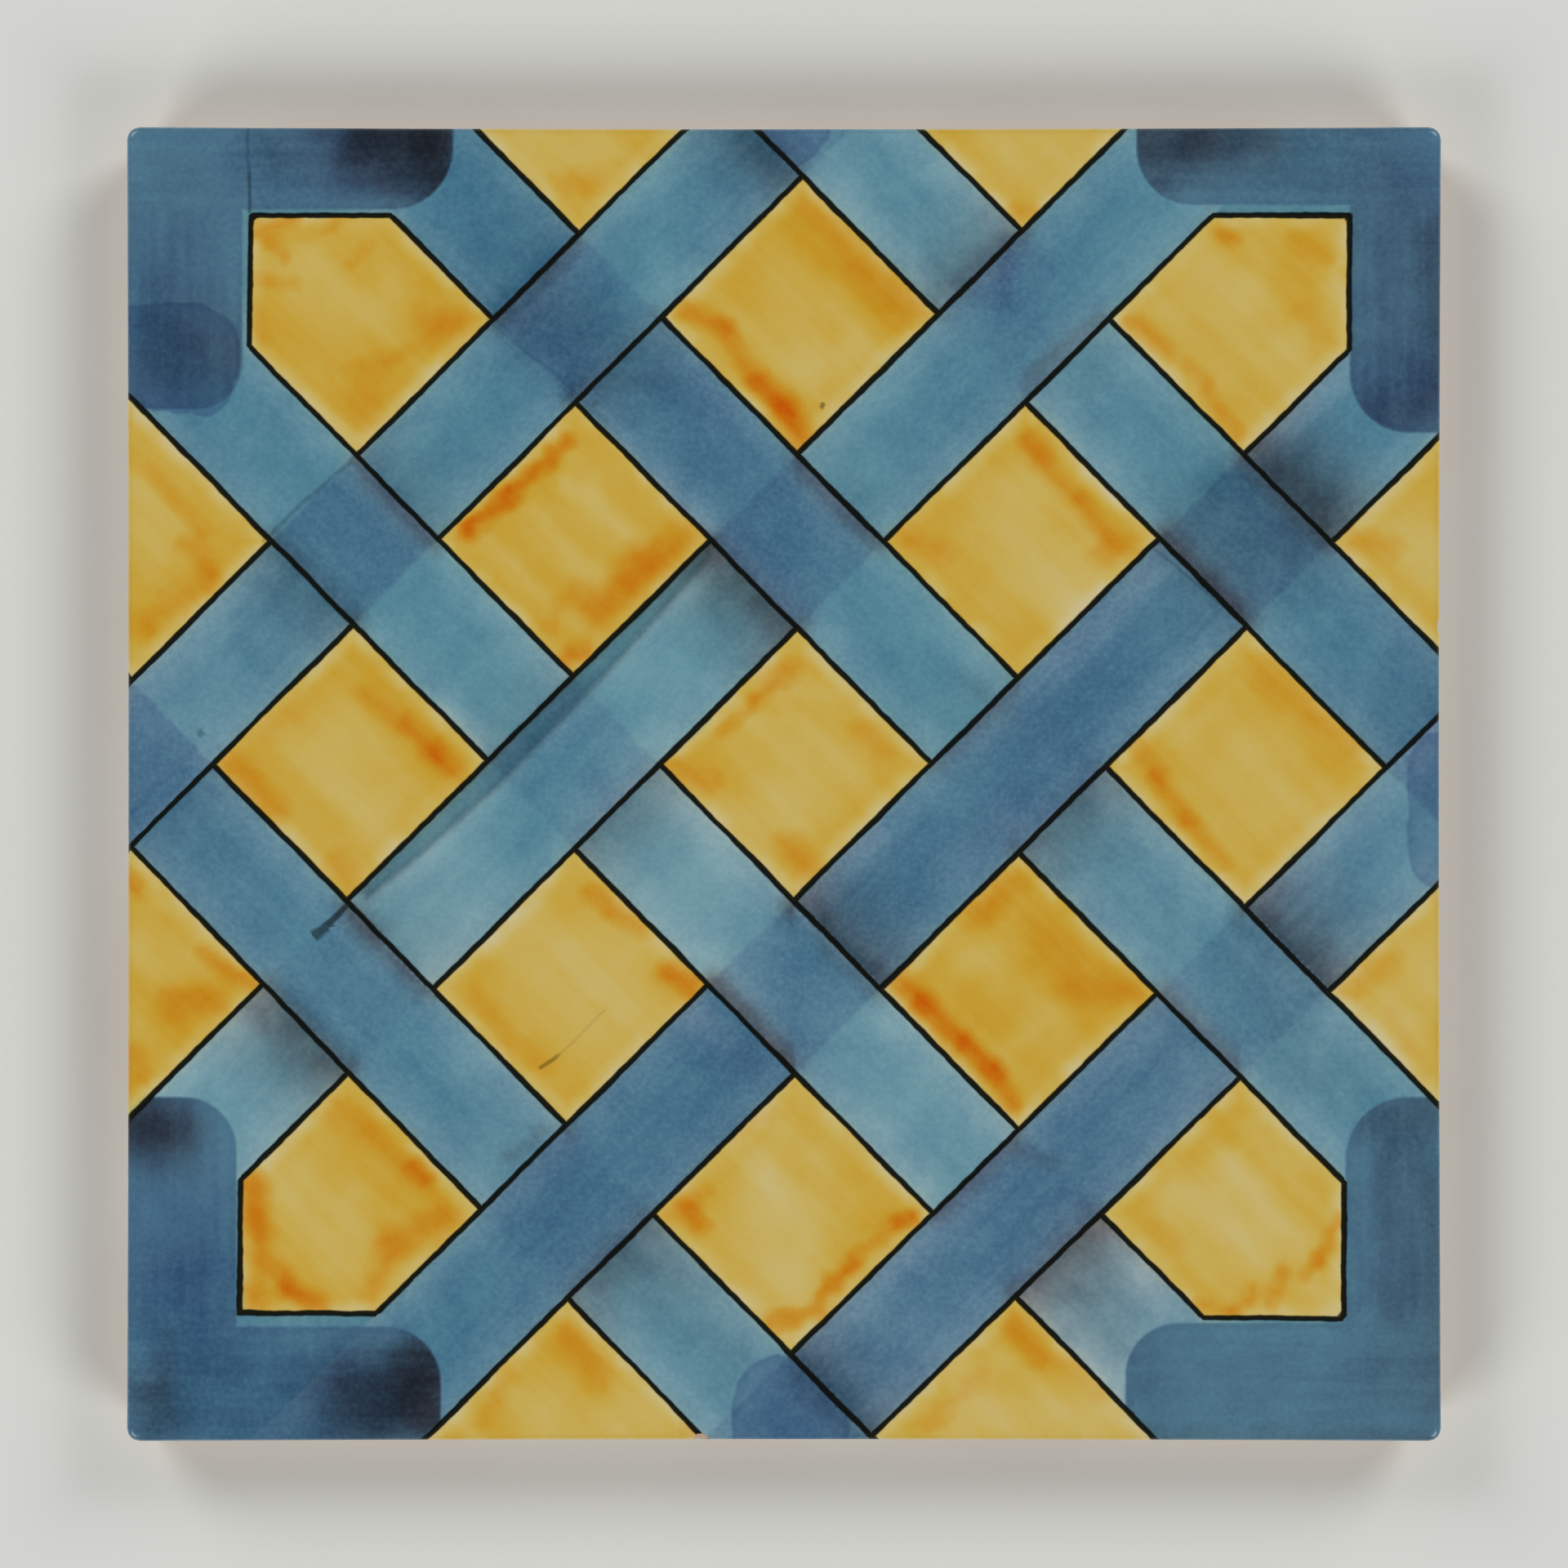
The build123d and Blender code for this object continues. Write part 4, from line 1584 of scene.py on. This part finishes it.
    def glazed_over(self, under: object, pigment: "Pigment", coat: Signal) -> object:
        """A colour seen through a coat of pigment, darker and stronger the thicker it is.

        Args:
            under: the colour below the coat.
            pigment: what the coat is made of.
            coat: how thick it lies.

        Returns:
            The output with the new colour.
        """
        node = self.node("ShaderNodeGamma")
        node.inputs["Color"].default_value = (*pigment.through, 1.0)
        self.feed(node.inputs["Gamma"], coat.most(0.0))
        return self.blended("MULTIPLY", under, node.outputs["Color"], 1.0)


@dataclass(frozen=True)
class Pigment:
    """A ceramic colour, by the light that passes through a coat of thickness one."""

    through: tuple[float, float, float]


WASH_BLUE = Pigment((0.145, 0.420, 0.560))
COBALT = Pigment((0.52, 0.52, 0.70))
MANGANESE = Pigment((0.68, 0.53, 0.51))
ANTIMONY_YELLOW = Pigment((0.960, 0.735, 0.205))
IRON_ORANGE = Pigment((0.98, 0.51, 0.10))


@dataclass
class Reading:
    """What the material's nodes know of a place on the face.

    The distances are in millimetres, and below nought within a band or within a corner's box.
    """

    off_falling: Signal
    off_rising: Signal
    off_box: Signal
    rising_above: Signal
    cell: Signal
    crossed: Signal


@dataclass(frozen=True)
class Texture:
    """How much of each kind of the fine unevenness a coat takes on."""

    streak: float = 0.0
    ragged: float = 0.0
    grain: float = 0.0


@dataclass
class Unevenness:
    """Fine unevenness that the layers of the painting share."""

    streak: Signal
    ragged: Signal
    grain: Signal

    def mixed(self, texture: Texture) -> Signal:
        """Adds up the kinds of unevenness.

        Args:
            texture: how much of each kind counts.

        Returns:
            The sum.
        """
        parts = [getattr(self, kind) * size for kind, size in vars(texture).items() if size]
        return sum(parts[1:], parts[0])


@dataclass
class PaintedGlaze:
    """The tile's material: bare clay, the white glaze on it, and the painting in the glaze."""

    glaze_white: tuple[float, float, float] = (0.730, 0.707, 0.680)
    thin_glaze: tuple[float, float, float] = (0.660, 0.600, 0.480)
    line_black: tuple[float, float, float] = (0.0024, 0.0034, 0.0014)
    clay_buff: tuple[float, float, float] = (0.520, 0.315, 0.205)
    clay_pale: tuple[float, float, float] = (0.630, 0.470, 0.350)
    clay_dark: tuple[float, float, float] = (0.300, 0.155, 0.095)
    grog_dark: tuple[float, float, float] = (0.200, 0.120, 0.080)
    grog_pale: tuple[float, float, float] = (0.720, 0.620, 0.500)
    line_half_width: float = 0.455
    line_softness: float = 0.15
    line_cover: float = 0.99
    line_shake: float = 0.10
    box_overrun: float = 0.3
    stroke_wash: float = 0.88
    stroke_edge: Fade = Fade(0.30, -0.30)
    stroke_tide: Fade = Fade(-1.8, -0.1, 0.16)
    stroke_texture: Texture = Texture(streak=0.17, grain=0.12)
    stroke_stretch: float = 1.4
    streak_size: tuple[float, float, float] = (28.0, 2.1, 1.0)
    grain_size: float = 0.75
    ragged_size: float = 2.2
    overlap_edge: Fade = Fade(0.45, -0.45)
    overlap_shake: float = 0.12
    band_thinning: Fade = Fade(7.5, 0.0, 0.23)
    outline_thinning: Fade = Fade(1.5, 0.6, 0.05)
    thinning_shake: float = 0.5
    wash_texture: Texture = Texture(streak=0.03, grain=0.054)
    cobalt_texture: Texture = Texture(streak=0.11, grain=0.198)
    shade_texture: Texture = Texture(streak=0.12, ragged=0.10, grain=0.08)
    second_edge: Fade = Fade(0.30, -0.30)
    second_shake: float = 0.2
    second_tide: Fade = Fade(-1.5, -0.1, 0.20)
    second_cobalt: float = 0.45
    cell_edge: Fade = Fade(-0.25, 0.15)
    cell_thinning: Fade = Fade(3.4, 0.2)
    least_thinning: float = 0.25
    patchy_thinning: float = 0.34
    warm_texture: Texture = Texture(streak=0.08, ragged=0.05, grain=0.035)
    orange_strength: float = 1.32
    orange_uneven: float = 2.0
    orange_flecks: float = 0.20
    yellow_bleed: Fade = Fade(-2.2, -0.3, 0.07)
    blue_spill: Fade = Fade(1.3, 0.1, 0.35)
    spill_places: Fade = Fade(0.045, 0.075)
    mark_edge: Fade = Fade(0.38, 0.12)
    mark_shake: float = 0.06
    specks: Fade = Fade(1.75, 2.05, 0.5)
    speck_shape: Texture = Texture(ragged=0.6, grain=1.0)
    pale_clay: Fade = Fade(-0.2, 0.6)
    dark_clay: Fade = Fade(0.4, 1.6, 0.45)
    dark_patches: float = 0.8
    dark_grog: Fade = Fade(0.95, 1.4, 0.60)
    light_grog: Fade = Fade(-0.95, -1.4, 0.55)
    paint_end: Fade = Fade(9.7, 10.7)
    paint_shake: float = 0.4
    glaze_thickening: Fade = Fade(-0.2, 1.6)
    glaze_edge: Fade = Fade(-0.15, 0.15)
    glaze_shake: float = 0.3
    chip_edge: Fade = Fade(0.42, 0.32)
    chip_shake: float = 0.1
    smooth_glaze: Fade = Fade(-0.2, 0.2)
    pit_size: float = 1.0
    pinholes: Fade = Fade(1.25, 1.55, 0.025)
    clay_bump: float = 0.050
    glaze_bump: float = 0.0025
    glaze_roughness: float = 0.24
    glaze_rough: Texture = Texture(streak=0.02, ragged=0.03)
    line_rough: float = 0.02
    clay_roughness: float = 0.88
    clay_rough: Texture = Texture(grain=0.04)
    glaze_ior: float = 1.50

    def fine_unevenness(self, sheet: NodeSheet, seen_rising: Signal, bars: tuple) -> Unevenness:
        """Reads the grain, the ragged edges, and the streaks that run along each brush stroke.

        Args:
            sheet: the material's nodes.
            seen_rising: where a rising band is seen.
            bars: where the level and the upright broad strokes are.

        Returns:
            Signals from about minus one to one.
        """
        up, down = sheet.x + sheet.y, sheet.y - sheet.x
        along = down + (up - down) * seen_rising
        across = up + down - along
        level, upright = bars
        on_bar = level.most(upright)
        bar_along = sheet.y + (sheet.x - sheet.y) * level
        bar_across = up - bar_along
        along = along + (bar_along * self.stroke_stretch - along) * on_bar
        across = across + (bar_across * self.stroke_stretch - across) * on_bar
        brushing = sheet.joined(along, across, 0.0)
        return Unevenness(
            streak=sheet.noise(self.streak_size, seed=3.0, octaves=2.0, places=brushing),
            ragged=sheet.noise((self.ragged_size,) * 3, seed=2.0, octaves=2.0),
            grain=sheet.noise((self.grain_size,) * 3, seed=1.0, octaves=1.0),
        )

    def read_lattice(self, sheet: NodeSheet, rising_above: Signal, ragged: Signal) -> Reading:
        """Finds the bands, their outlines and the corner boxes at every place.

        Args:
            sheet: the material's nodes.
            rising_above: where the rising band passes over the falling one.
            ragged: fine unevenness, which makes the liner's hand unsteady.

        Returns:
            The drawn lattice at every place.
        """
        shake = ragged * self.line_shake
        off_falling, off_rising, off_box = (part + shake for part in sheet.attribute("outline"))
        nearest = off_falling.least(off_rising)
        cell = nearest.least(off_box * -1.0)
        crossed = off_falling.most(off_rising)
        return Reading(off_falling, off_rising, off_box, rising_above, cell, crossed)

    def drawn_lines(self, reading: Reading) -> Signal:
        """Finds how far each place is from the nearest line that the liner drew.

        Args:
            reading: the drawn lattice.

        Returns:
            The distance in millimetres.
        """
        hidden = reading.off_box.above(0.0)
        above = reading.rising_above
        under_rising = above * reading.off_rising.above(0.0).inverse()
        under_falling = above.inverse() * reading.off_falling.above(0.0).inverse()
        falling = abs(reading.off_falling) + under_rising.most(hidden) * FAR_OFF
        rising = abs(reading.off_rising) + under_falling.most(hidden) * FAR_OFF
        outside_cell = reading.off_falling.least(reading.off_rising).above(-self.box_overrun).inverse()
        box = abs(reading.off_box) + outside_cell * FAR_OFF
        return falling.least(rising).least(box)

    def stray_marks(self, sheet: NodeSheet, uneven: Unevenness) -> Signal:
        """Draws the thin marks that the liner left, and specks of dust.

        Args:
            sheet: the material's nodes.
            uneven: the fine unevenness.

        Returns:
            How black every place is, from nought to one.
        """
        aside, beyond, strength = sheet.attribute("marks")
        mark = aside.distance(beyond.most(0.0)) + uneven.ragged * self.mark_shake
        speck = uneven.mixed(self.speck_shape).faded(self.specks)
        return speck.most(mark.faded(self.mark_edge) * strength)

    def blue_coats(
        self, sheet: NodeSheet, crossed: Signal, side: Signal, uneven: Unevenness, overlap: Signal
    ) -> tuple[Signal, Signal, Signal]:
        """The blue work on the bands.

        Args:
            sheet: the material's nodes.
            crossed: distance from the place where two bands cross, below nought within it.
            side: distance from the long sides of the band that is seen, where the wash is thinner.
            uneven: the fine unevenness.
            overlap: strength of the second coat where bands cross.

        Returns:
            How thick the wash, the cobalt and the manganese are.
        """
        wash, cobalt, shade = sheet.attribute("washes")
        twice = (crossed + uneven.ragged * self.overlap_shake).faded(self.overlap_edge)
        wet = side - uneven.ragged * self.thinning_shake
        wash = wash * (uneven.mixed(self.wash_texture) + 1.0)
        wash = wash - wet.faded(self.band_thinning) - wet.faded(self.outline_thinning)
        cobalt = (cobalt + overlap * twice) * (uneven.mixed(self.cobalt_texture) + 1.0)
        cobalt = cobalt + uneven.mixed(self.wash_texture)
        return wash, cobalt, shade * (uneven.mixed(self.shade_texture) + 1.0)

    def broad_strokes(
        self, sheet: NodeSheet, uneven: Unevenness, bars: tuple, edges: tuple
    ) -> tuple[Signal, Signal, Signal]:
        """The broad strokes in the corners and the second coats.

        Args:
            sheet: the material's nodes.
            uneven: the fine unevenness.
            bars: where the level and the upright strokes are.
            edges: distances from the edges of those strokes and of the second coats.

        Returns:
            How thick the cobalt and the manganese are, and how much wider the outlines are.
        """
        bar_cobalt, bar_pools, thick = sheet.attribute("pools")
        on_level, on_upright = bars
        level, upright, twice = edges
        on_twice = (twice + uneven.ragged * self.second_shake).faded(self.second_edge)
        bar = on_level.most(on_upright)
        tide = level.least(upright).faded(self.stroke_tide) * bar
        fine = uneven.mixed(self.stroke_texture) + 1.0
        cobalt = (bar_cobalt * bar + tide) * fine
        cobalt = cobalt + on_twice * (twice.faded(self.second_tide) + self.second_cobalt)
        return cobalt, bar_pools * bar * fine, thick

    def warm_coats(
        self, sheet: NodeSheet, reading: Reading, uneven: Unevenness
    ) -> tuple[Signal, Signal, Signal]:
        """The yellow and the orange of the cells.

        Args:
            sheet: the material's nodes.
            reading: the drawn lattice.
            uneven: the fine unevenness.

        Returns:
            How thick the yellow and the orange are, and how much of each place they cover.
        """
        yellow, orange, patchy = sheet.attribute("warmth")
        covered = reading.cell.faded(self.cell_edge)
        fine = uneven.mixed(self.warm_texture)
        thinning = patchy * self.patchy_thinning + self.least_thinning
        thin_edge = reading.cell.faded(self.cell_thinning) * thinning
        yellow = yellow * (fine + 1.0) * thin_edge.inverse()
        bled = covered.most(reading.cell.faded(self.yellow_bleed))
        orange = orange.most(0.0) * (fine * self.orange_uneven + 1.0) * self.orange_strength
        return yellow * bled, orange + fine.most(0.0) * self.orange_flecks, covered

    def painted(self, sheet: NodeSheet) -> tuple[object, Signal, Unevenness]:
        """The colour of the glazed face.

        Args:
            sheet: the material's nodes.

        Returns:
            The colour, how black the outlines are, and the fine unevenness.
        """
        rising_above, seen_rising, overlap = sheet.attribute("weave")
        level, upright, twice = sheet.attribute("strokes")
        bars = level.faded(self.stroke_edge), upright.faded(self.stroke_edge)
        uneven = self.fine_unevenness(sheet, seen_rising, bars)
        reading = self.read_lattice(sheet, rising_above, uneven.ragged)
        drawn = self.drawn_lines(reading)
        side = abs(reading.off_falling + (reading.off_rising - reading.off_falling) * seen_rising)
        wash, cobalt, shade = self.blue_coats(sheet, reading.crossed, side, uneven, overlap)
        wash = wash + (self.stroke_wash - wash).most(0.0) * bars[0].most(bars[1])
        edges = (level, upright, twice)
        bar_cobalt, bar_pools, thick = self.broad_strokes(sheet, uneven, bars, edges)
        yellow, orange, covered = self.warm_coats(sheet, reading, uneven)
        bare = covered.inverse()
        spill = reading.cell.faded(self.blue_spill) * thick.faded(self.spill_places)
        colour = sheet.glazed_over((*self.glaze_white, 1.0), WASH_BLUE, wash * bare.most(spill))
        colour = sheet.glazed_over(colour, COBALT, (cobalt + bar_cobalt) * bare)
        colour = sheet.glazed_over(colour, MANGANESE, (shade + bar_pools) * bare)
        colour = sheet.glazed_over(colour, ANTIMONY_YELLOW, yellow)
        colour = sheet.glazed_over(colour, IRON_ORANGE, orange * covered)
        outer = self.line_half_width + self.line_softness
        inner = self.line_half_width - self.line_softness
        line = (drawn - thick).faded(Fade(outer, inner))
        black = line.most(self.stray_marks(sheet, uneven)) * self.line_cover
        return sheet.mixed(colour, (*self.line_black, 1.0), black), line, uneven

    def bare_clay(self, sheet: NodeSheet, uneven: Unevenness, slow: Signal) -> object:
        """The colour of the clay where no glaze covers it.

        Args:
            sheet: the material's nodes.
            uneven: the fine unevenness.
            slow: where the clay fired darker or paler.

        Returns:
            The output with the colour.
        """
        pale = slow.faded(self.pale_clay)
        colour = sheet.mixed((*self.clay_buff, 1.0), (*self.clay_pale, 1.0), pale)
        dark = (uneven.ragged - slow * self.dark_patches).faded(self.dark_clay)
        colour = sheet.mixed(colour, (*self.clay_dark, 1.0), dark)
        specks = uneven.grain.faded(self.dark_grog), uneven.grain.faded(self.light_grog)
        colour = sheet.mixed(colour, (*self.grog_dark, 1.0), specks[0])
        return sheet.mixed(colour, (*self.grog_pale, 1.0), specks[1])

    def bump(self, sheet: NodeSheet, margin: Signal) -> bpy.types.NodeSocket:
        """The pits of the clay and the pinholes of the glaze, which the mesh is too coarse for.

        Args:
            sheet: the material's nodes.
            margin: height above the lower edge of the glaze.

        Returns:
            The output with the direction that the surface faces.
        """
        pitted = sheet.noise((self.pit_size,) * 3, seed=4.0, octaves=1.0)
        clay = pitted * self.clay_bump
        glaze = pitted * self.glaze_bump - pitted.faded(self.pinholes)
        node = sheet.node("ShaderNodeBump")
        node.inputs["Distance"].default_value = METRES
        height = clay + (glaze - clay) * margin.faded(self.smooth_glaze)
        sheet.feed(node.inputs["Height"], height)
        return node.outputs["Normal"]

    def build(self) -> bpy.types.Material:
        """Builds the material.

        Returns:
            The finished material.
        """
        material = bpy.data.materials.new("glazed_clay")
        sheet = NodeSheet(material)
        face, line, uneven = self.painted(sheet)
        margin, chipped, slow = sheet.attribute("clay")
        paint = (sheet.z + uneven.ragged * self.paint_shake).faded(self.paint_end)
        thickness = margin.faded(self.glaze_thickening)
        white = sheet.mixed((*self.thin_glaze, 1.0), (*self.glaze_white, 1.0), thickness)
        whole = (chipped + uneven.ragged * self.chip_shake).faded(self.chip_edge)
        glazed = (margin + uneven.ragged * self.glaze_shake).faded(self.glaze_edge) * whole
        glaze = sheet.mixed(white, face, paint)
        colour = sheet.mixed(self.bare_clay(sheet, uneven, slow), glaze, glazed)
        glaze_rough = uneven.mixed(self.glaze_rough) + line * self.line_rough + self.glaze_roughness
        clay_rough = uneven.mixed(self.clay_rough) + self.clay_roughness
        shader = sheet.node("ShaderNodeBsdfPrincipled")
        shader.inputs["IOR"].default_value = self.glaze_ior
        sheet.feed(shader.inputs["Base Color"], colour)
        sheet.feed(shader.inputs["Roughness"], clay_rough + (glaze_rough - clay_rough) * glazed)
        sheet.feed(shader.inputs["Normal"], self.bump(sheet, margin))
        output = sheet.node("ShaderNodeOutputMaterial")
        sheet.feed(output.inputs["Surface"], shader.outputs["BSDF"])
        return material


@dataclass
class Studio:
    """The plain floor, the soft lights and the camera straight above the tile."""

    floor_side: float = 8.0
    floor_colour: tuple[float, float, float] = (0.79, 0.80, 0.76)
    floor_roughness: float = 0.9
    floor_sheen: float = 0.1
    lamps: int = 4
    lamp_side: float = 1.3
    lamp_height: float = 1.35
    lamp_distance: float = 2.3
    lamp_power: float = 29.1
    world_light: float = 0.05
    lens: float = 110.0
    tile_share: float = 0.84

    def add_floor(self) -> None:
        """Lays the floor under the tile."""
        mesh = bmesh.new()
        bmesh.ops.create_grid(mesh, x_segments=1, y_segments=1, size=self.floor_side / 2.0)
        data = bpy.data.meshes.new("floor")
        mesh.to_mesh(data)
        mesh.free()
        material = bpy.data.materials.new("pale_floor")
        sheet = NodeSheet(material)
        shader = sheet.node("ShaderNodeBsdfPrincipled")
        shader.inputs["Base Color"].default_value = (*self.floor_colour, 1.0)
        shader.inputs["Roughness"].default_value = self.floor_roughness
        shader.inputs["Specular IOR Level"].default_value = self.floor_sheen
        output = sheet.node("ShaderNodeOutputMaterial")
        sheet.feed(output.inputs["Surface"], shader.outputs["BSDF"])
        data.materials.append(material)
        floor = bpy.data.objects.new("floor", data)
        bpy.context.scene.collection.objects.link(floor)

    def add_lamps(self) -> None:
        """Hangs large soft lamps round the tile, out of the way of its mirror image."""
        for number in range(self.lamps):
            turn = math.tau * (number + 0.5) / self.lamps
            data = bpy.data.lights.new(f"lamp_{number}", "AREA")
            data.shape = "SQUARE"
            data.size = self.lamp_side
            data.energy = self.lamp_power
            lamp = bpy.data.objects.new(f"lamp_{number}", data)
            place = Vector((math.cos(turn), math.sin(turn), 0.0)) * self.lamp_distance
            place.z = self.lamp_height
            lamp.location = place
            lamp.rotation_mode = "QUATERNION"
            lamp.rotation_quaternion = (-place).to_track_quat("-Z", "Y")
            bpy.context.scene.collection.objects.link(lamp)

    def add_world(self) -> None:
        """Fills the room with dim even light."""
        world = bpy.data.worlds.new("room")
        world.use_nodes = True
        background = world.node_tree.nodes["Background"]
        background.inputs["Color"].default_value = (1.0, 1.0, 1.0, 1.0)
        background.inputs["Strength"].default_value = self.world_light
        bpy.context.scene.world = world

    def add_camera(self, side: float, height: float) -> None:
        """Hangs the camera above the tile.

        Args:
            side: the tile's side in metres.
            height: height of its face in metres.
        """
        data = bpy.data.cameras.new("camera")
        data.lens = self.lens
        half_angle = math.atan(data.sensor_width / 2.0 / self.lens)
        camera = bpy.data.objects.new("camera", data)
        reach = side / self.tile_share / 2.0 / math.tan(half_angle)
        camera.location = (0.0, 0.0, height + reach)
        bpy.context.scene.collection.objects.link(camera)
        bpy.context.scene.camera = camera

    def build(self, side: float, height: float) -> None:
        """Sets the whole stage for a tile of this side and height, in metres.

        Args:
            side: the tile's side.
            height: height of its face.
        """
        self.add_floor()
        self.add_lamps()
        self.add_world()
        self.add_camera(side, height)
        bpy.context.scene.view_settings.view_transform = "Standard"
        bpy.context.scene.view_settings.look = "None"


def main() -> None:
    """Builds the tile, paints it, and sets the stage round it."""
    logging.basicConfig(level=logging.INFO, format="%(name)s: %(message)s")
    sizes = TileSizes()
    slab = PressedSlab(sizes, CombedBack(sizes))
    data = slab.build()
    Painting(Lattice()).lay_on(data, slab)
    data.materials.append(PaintedGlaze().build())
    tile = bpy.data.objects.new("painted_tile", data)
    bpy.context.scene.collection.objects.link(tile)
    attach(tile, "root")
    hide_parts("tile")
    log.info("painted_tile: %d vertices, %d faces", len(data.vertices), len(data.polygons))
    Studio().build(sizes.side * METRES, sizes.thickness * METRES)
    log.info("stage: floor, four lamps and camera")


if __name__ == "__main__":
    main()
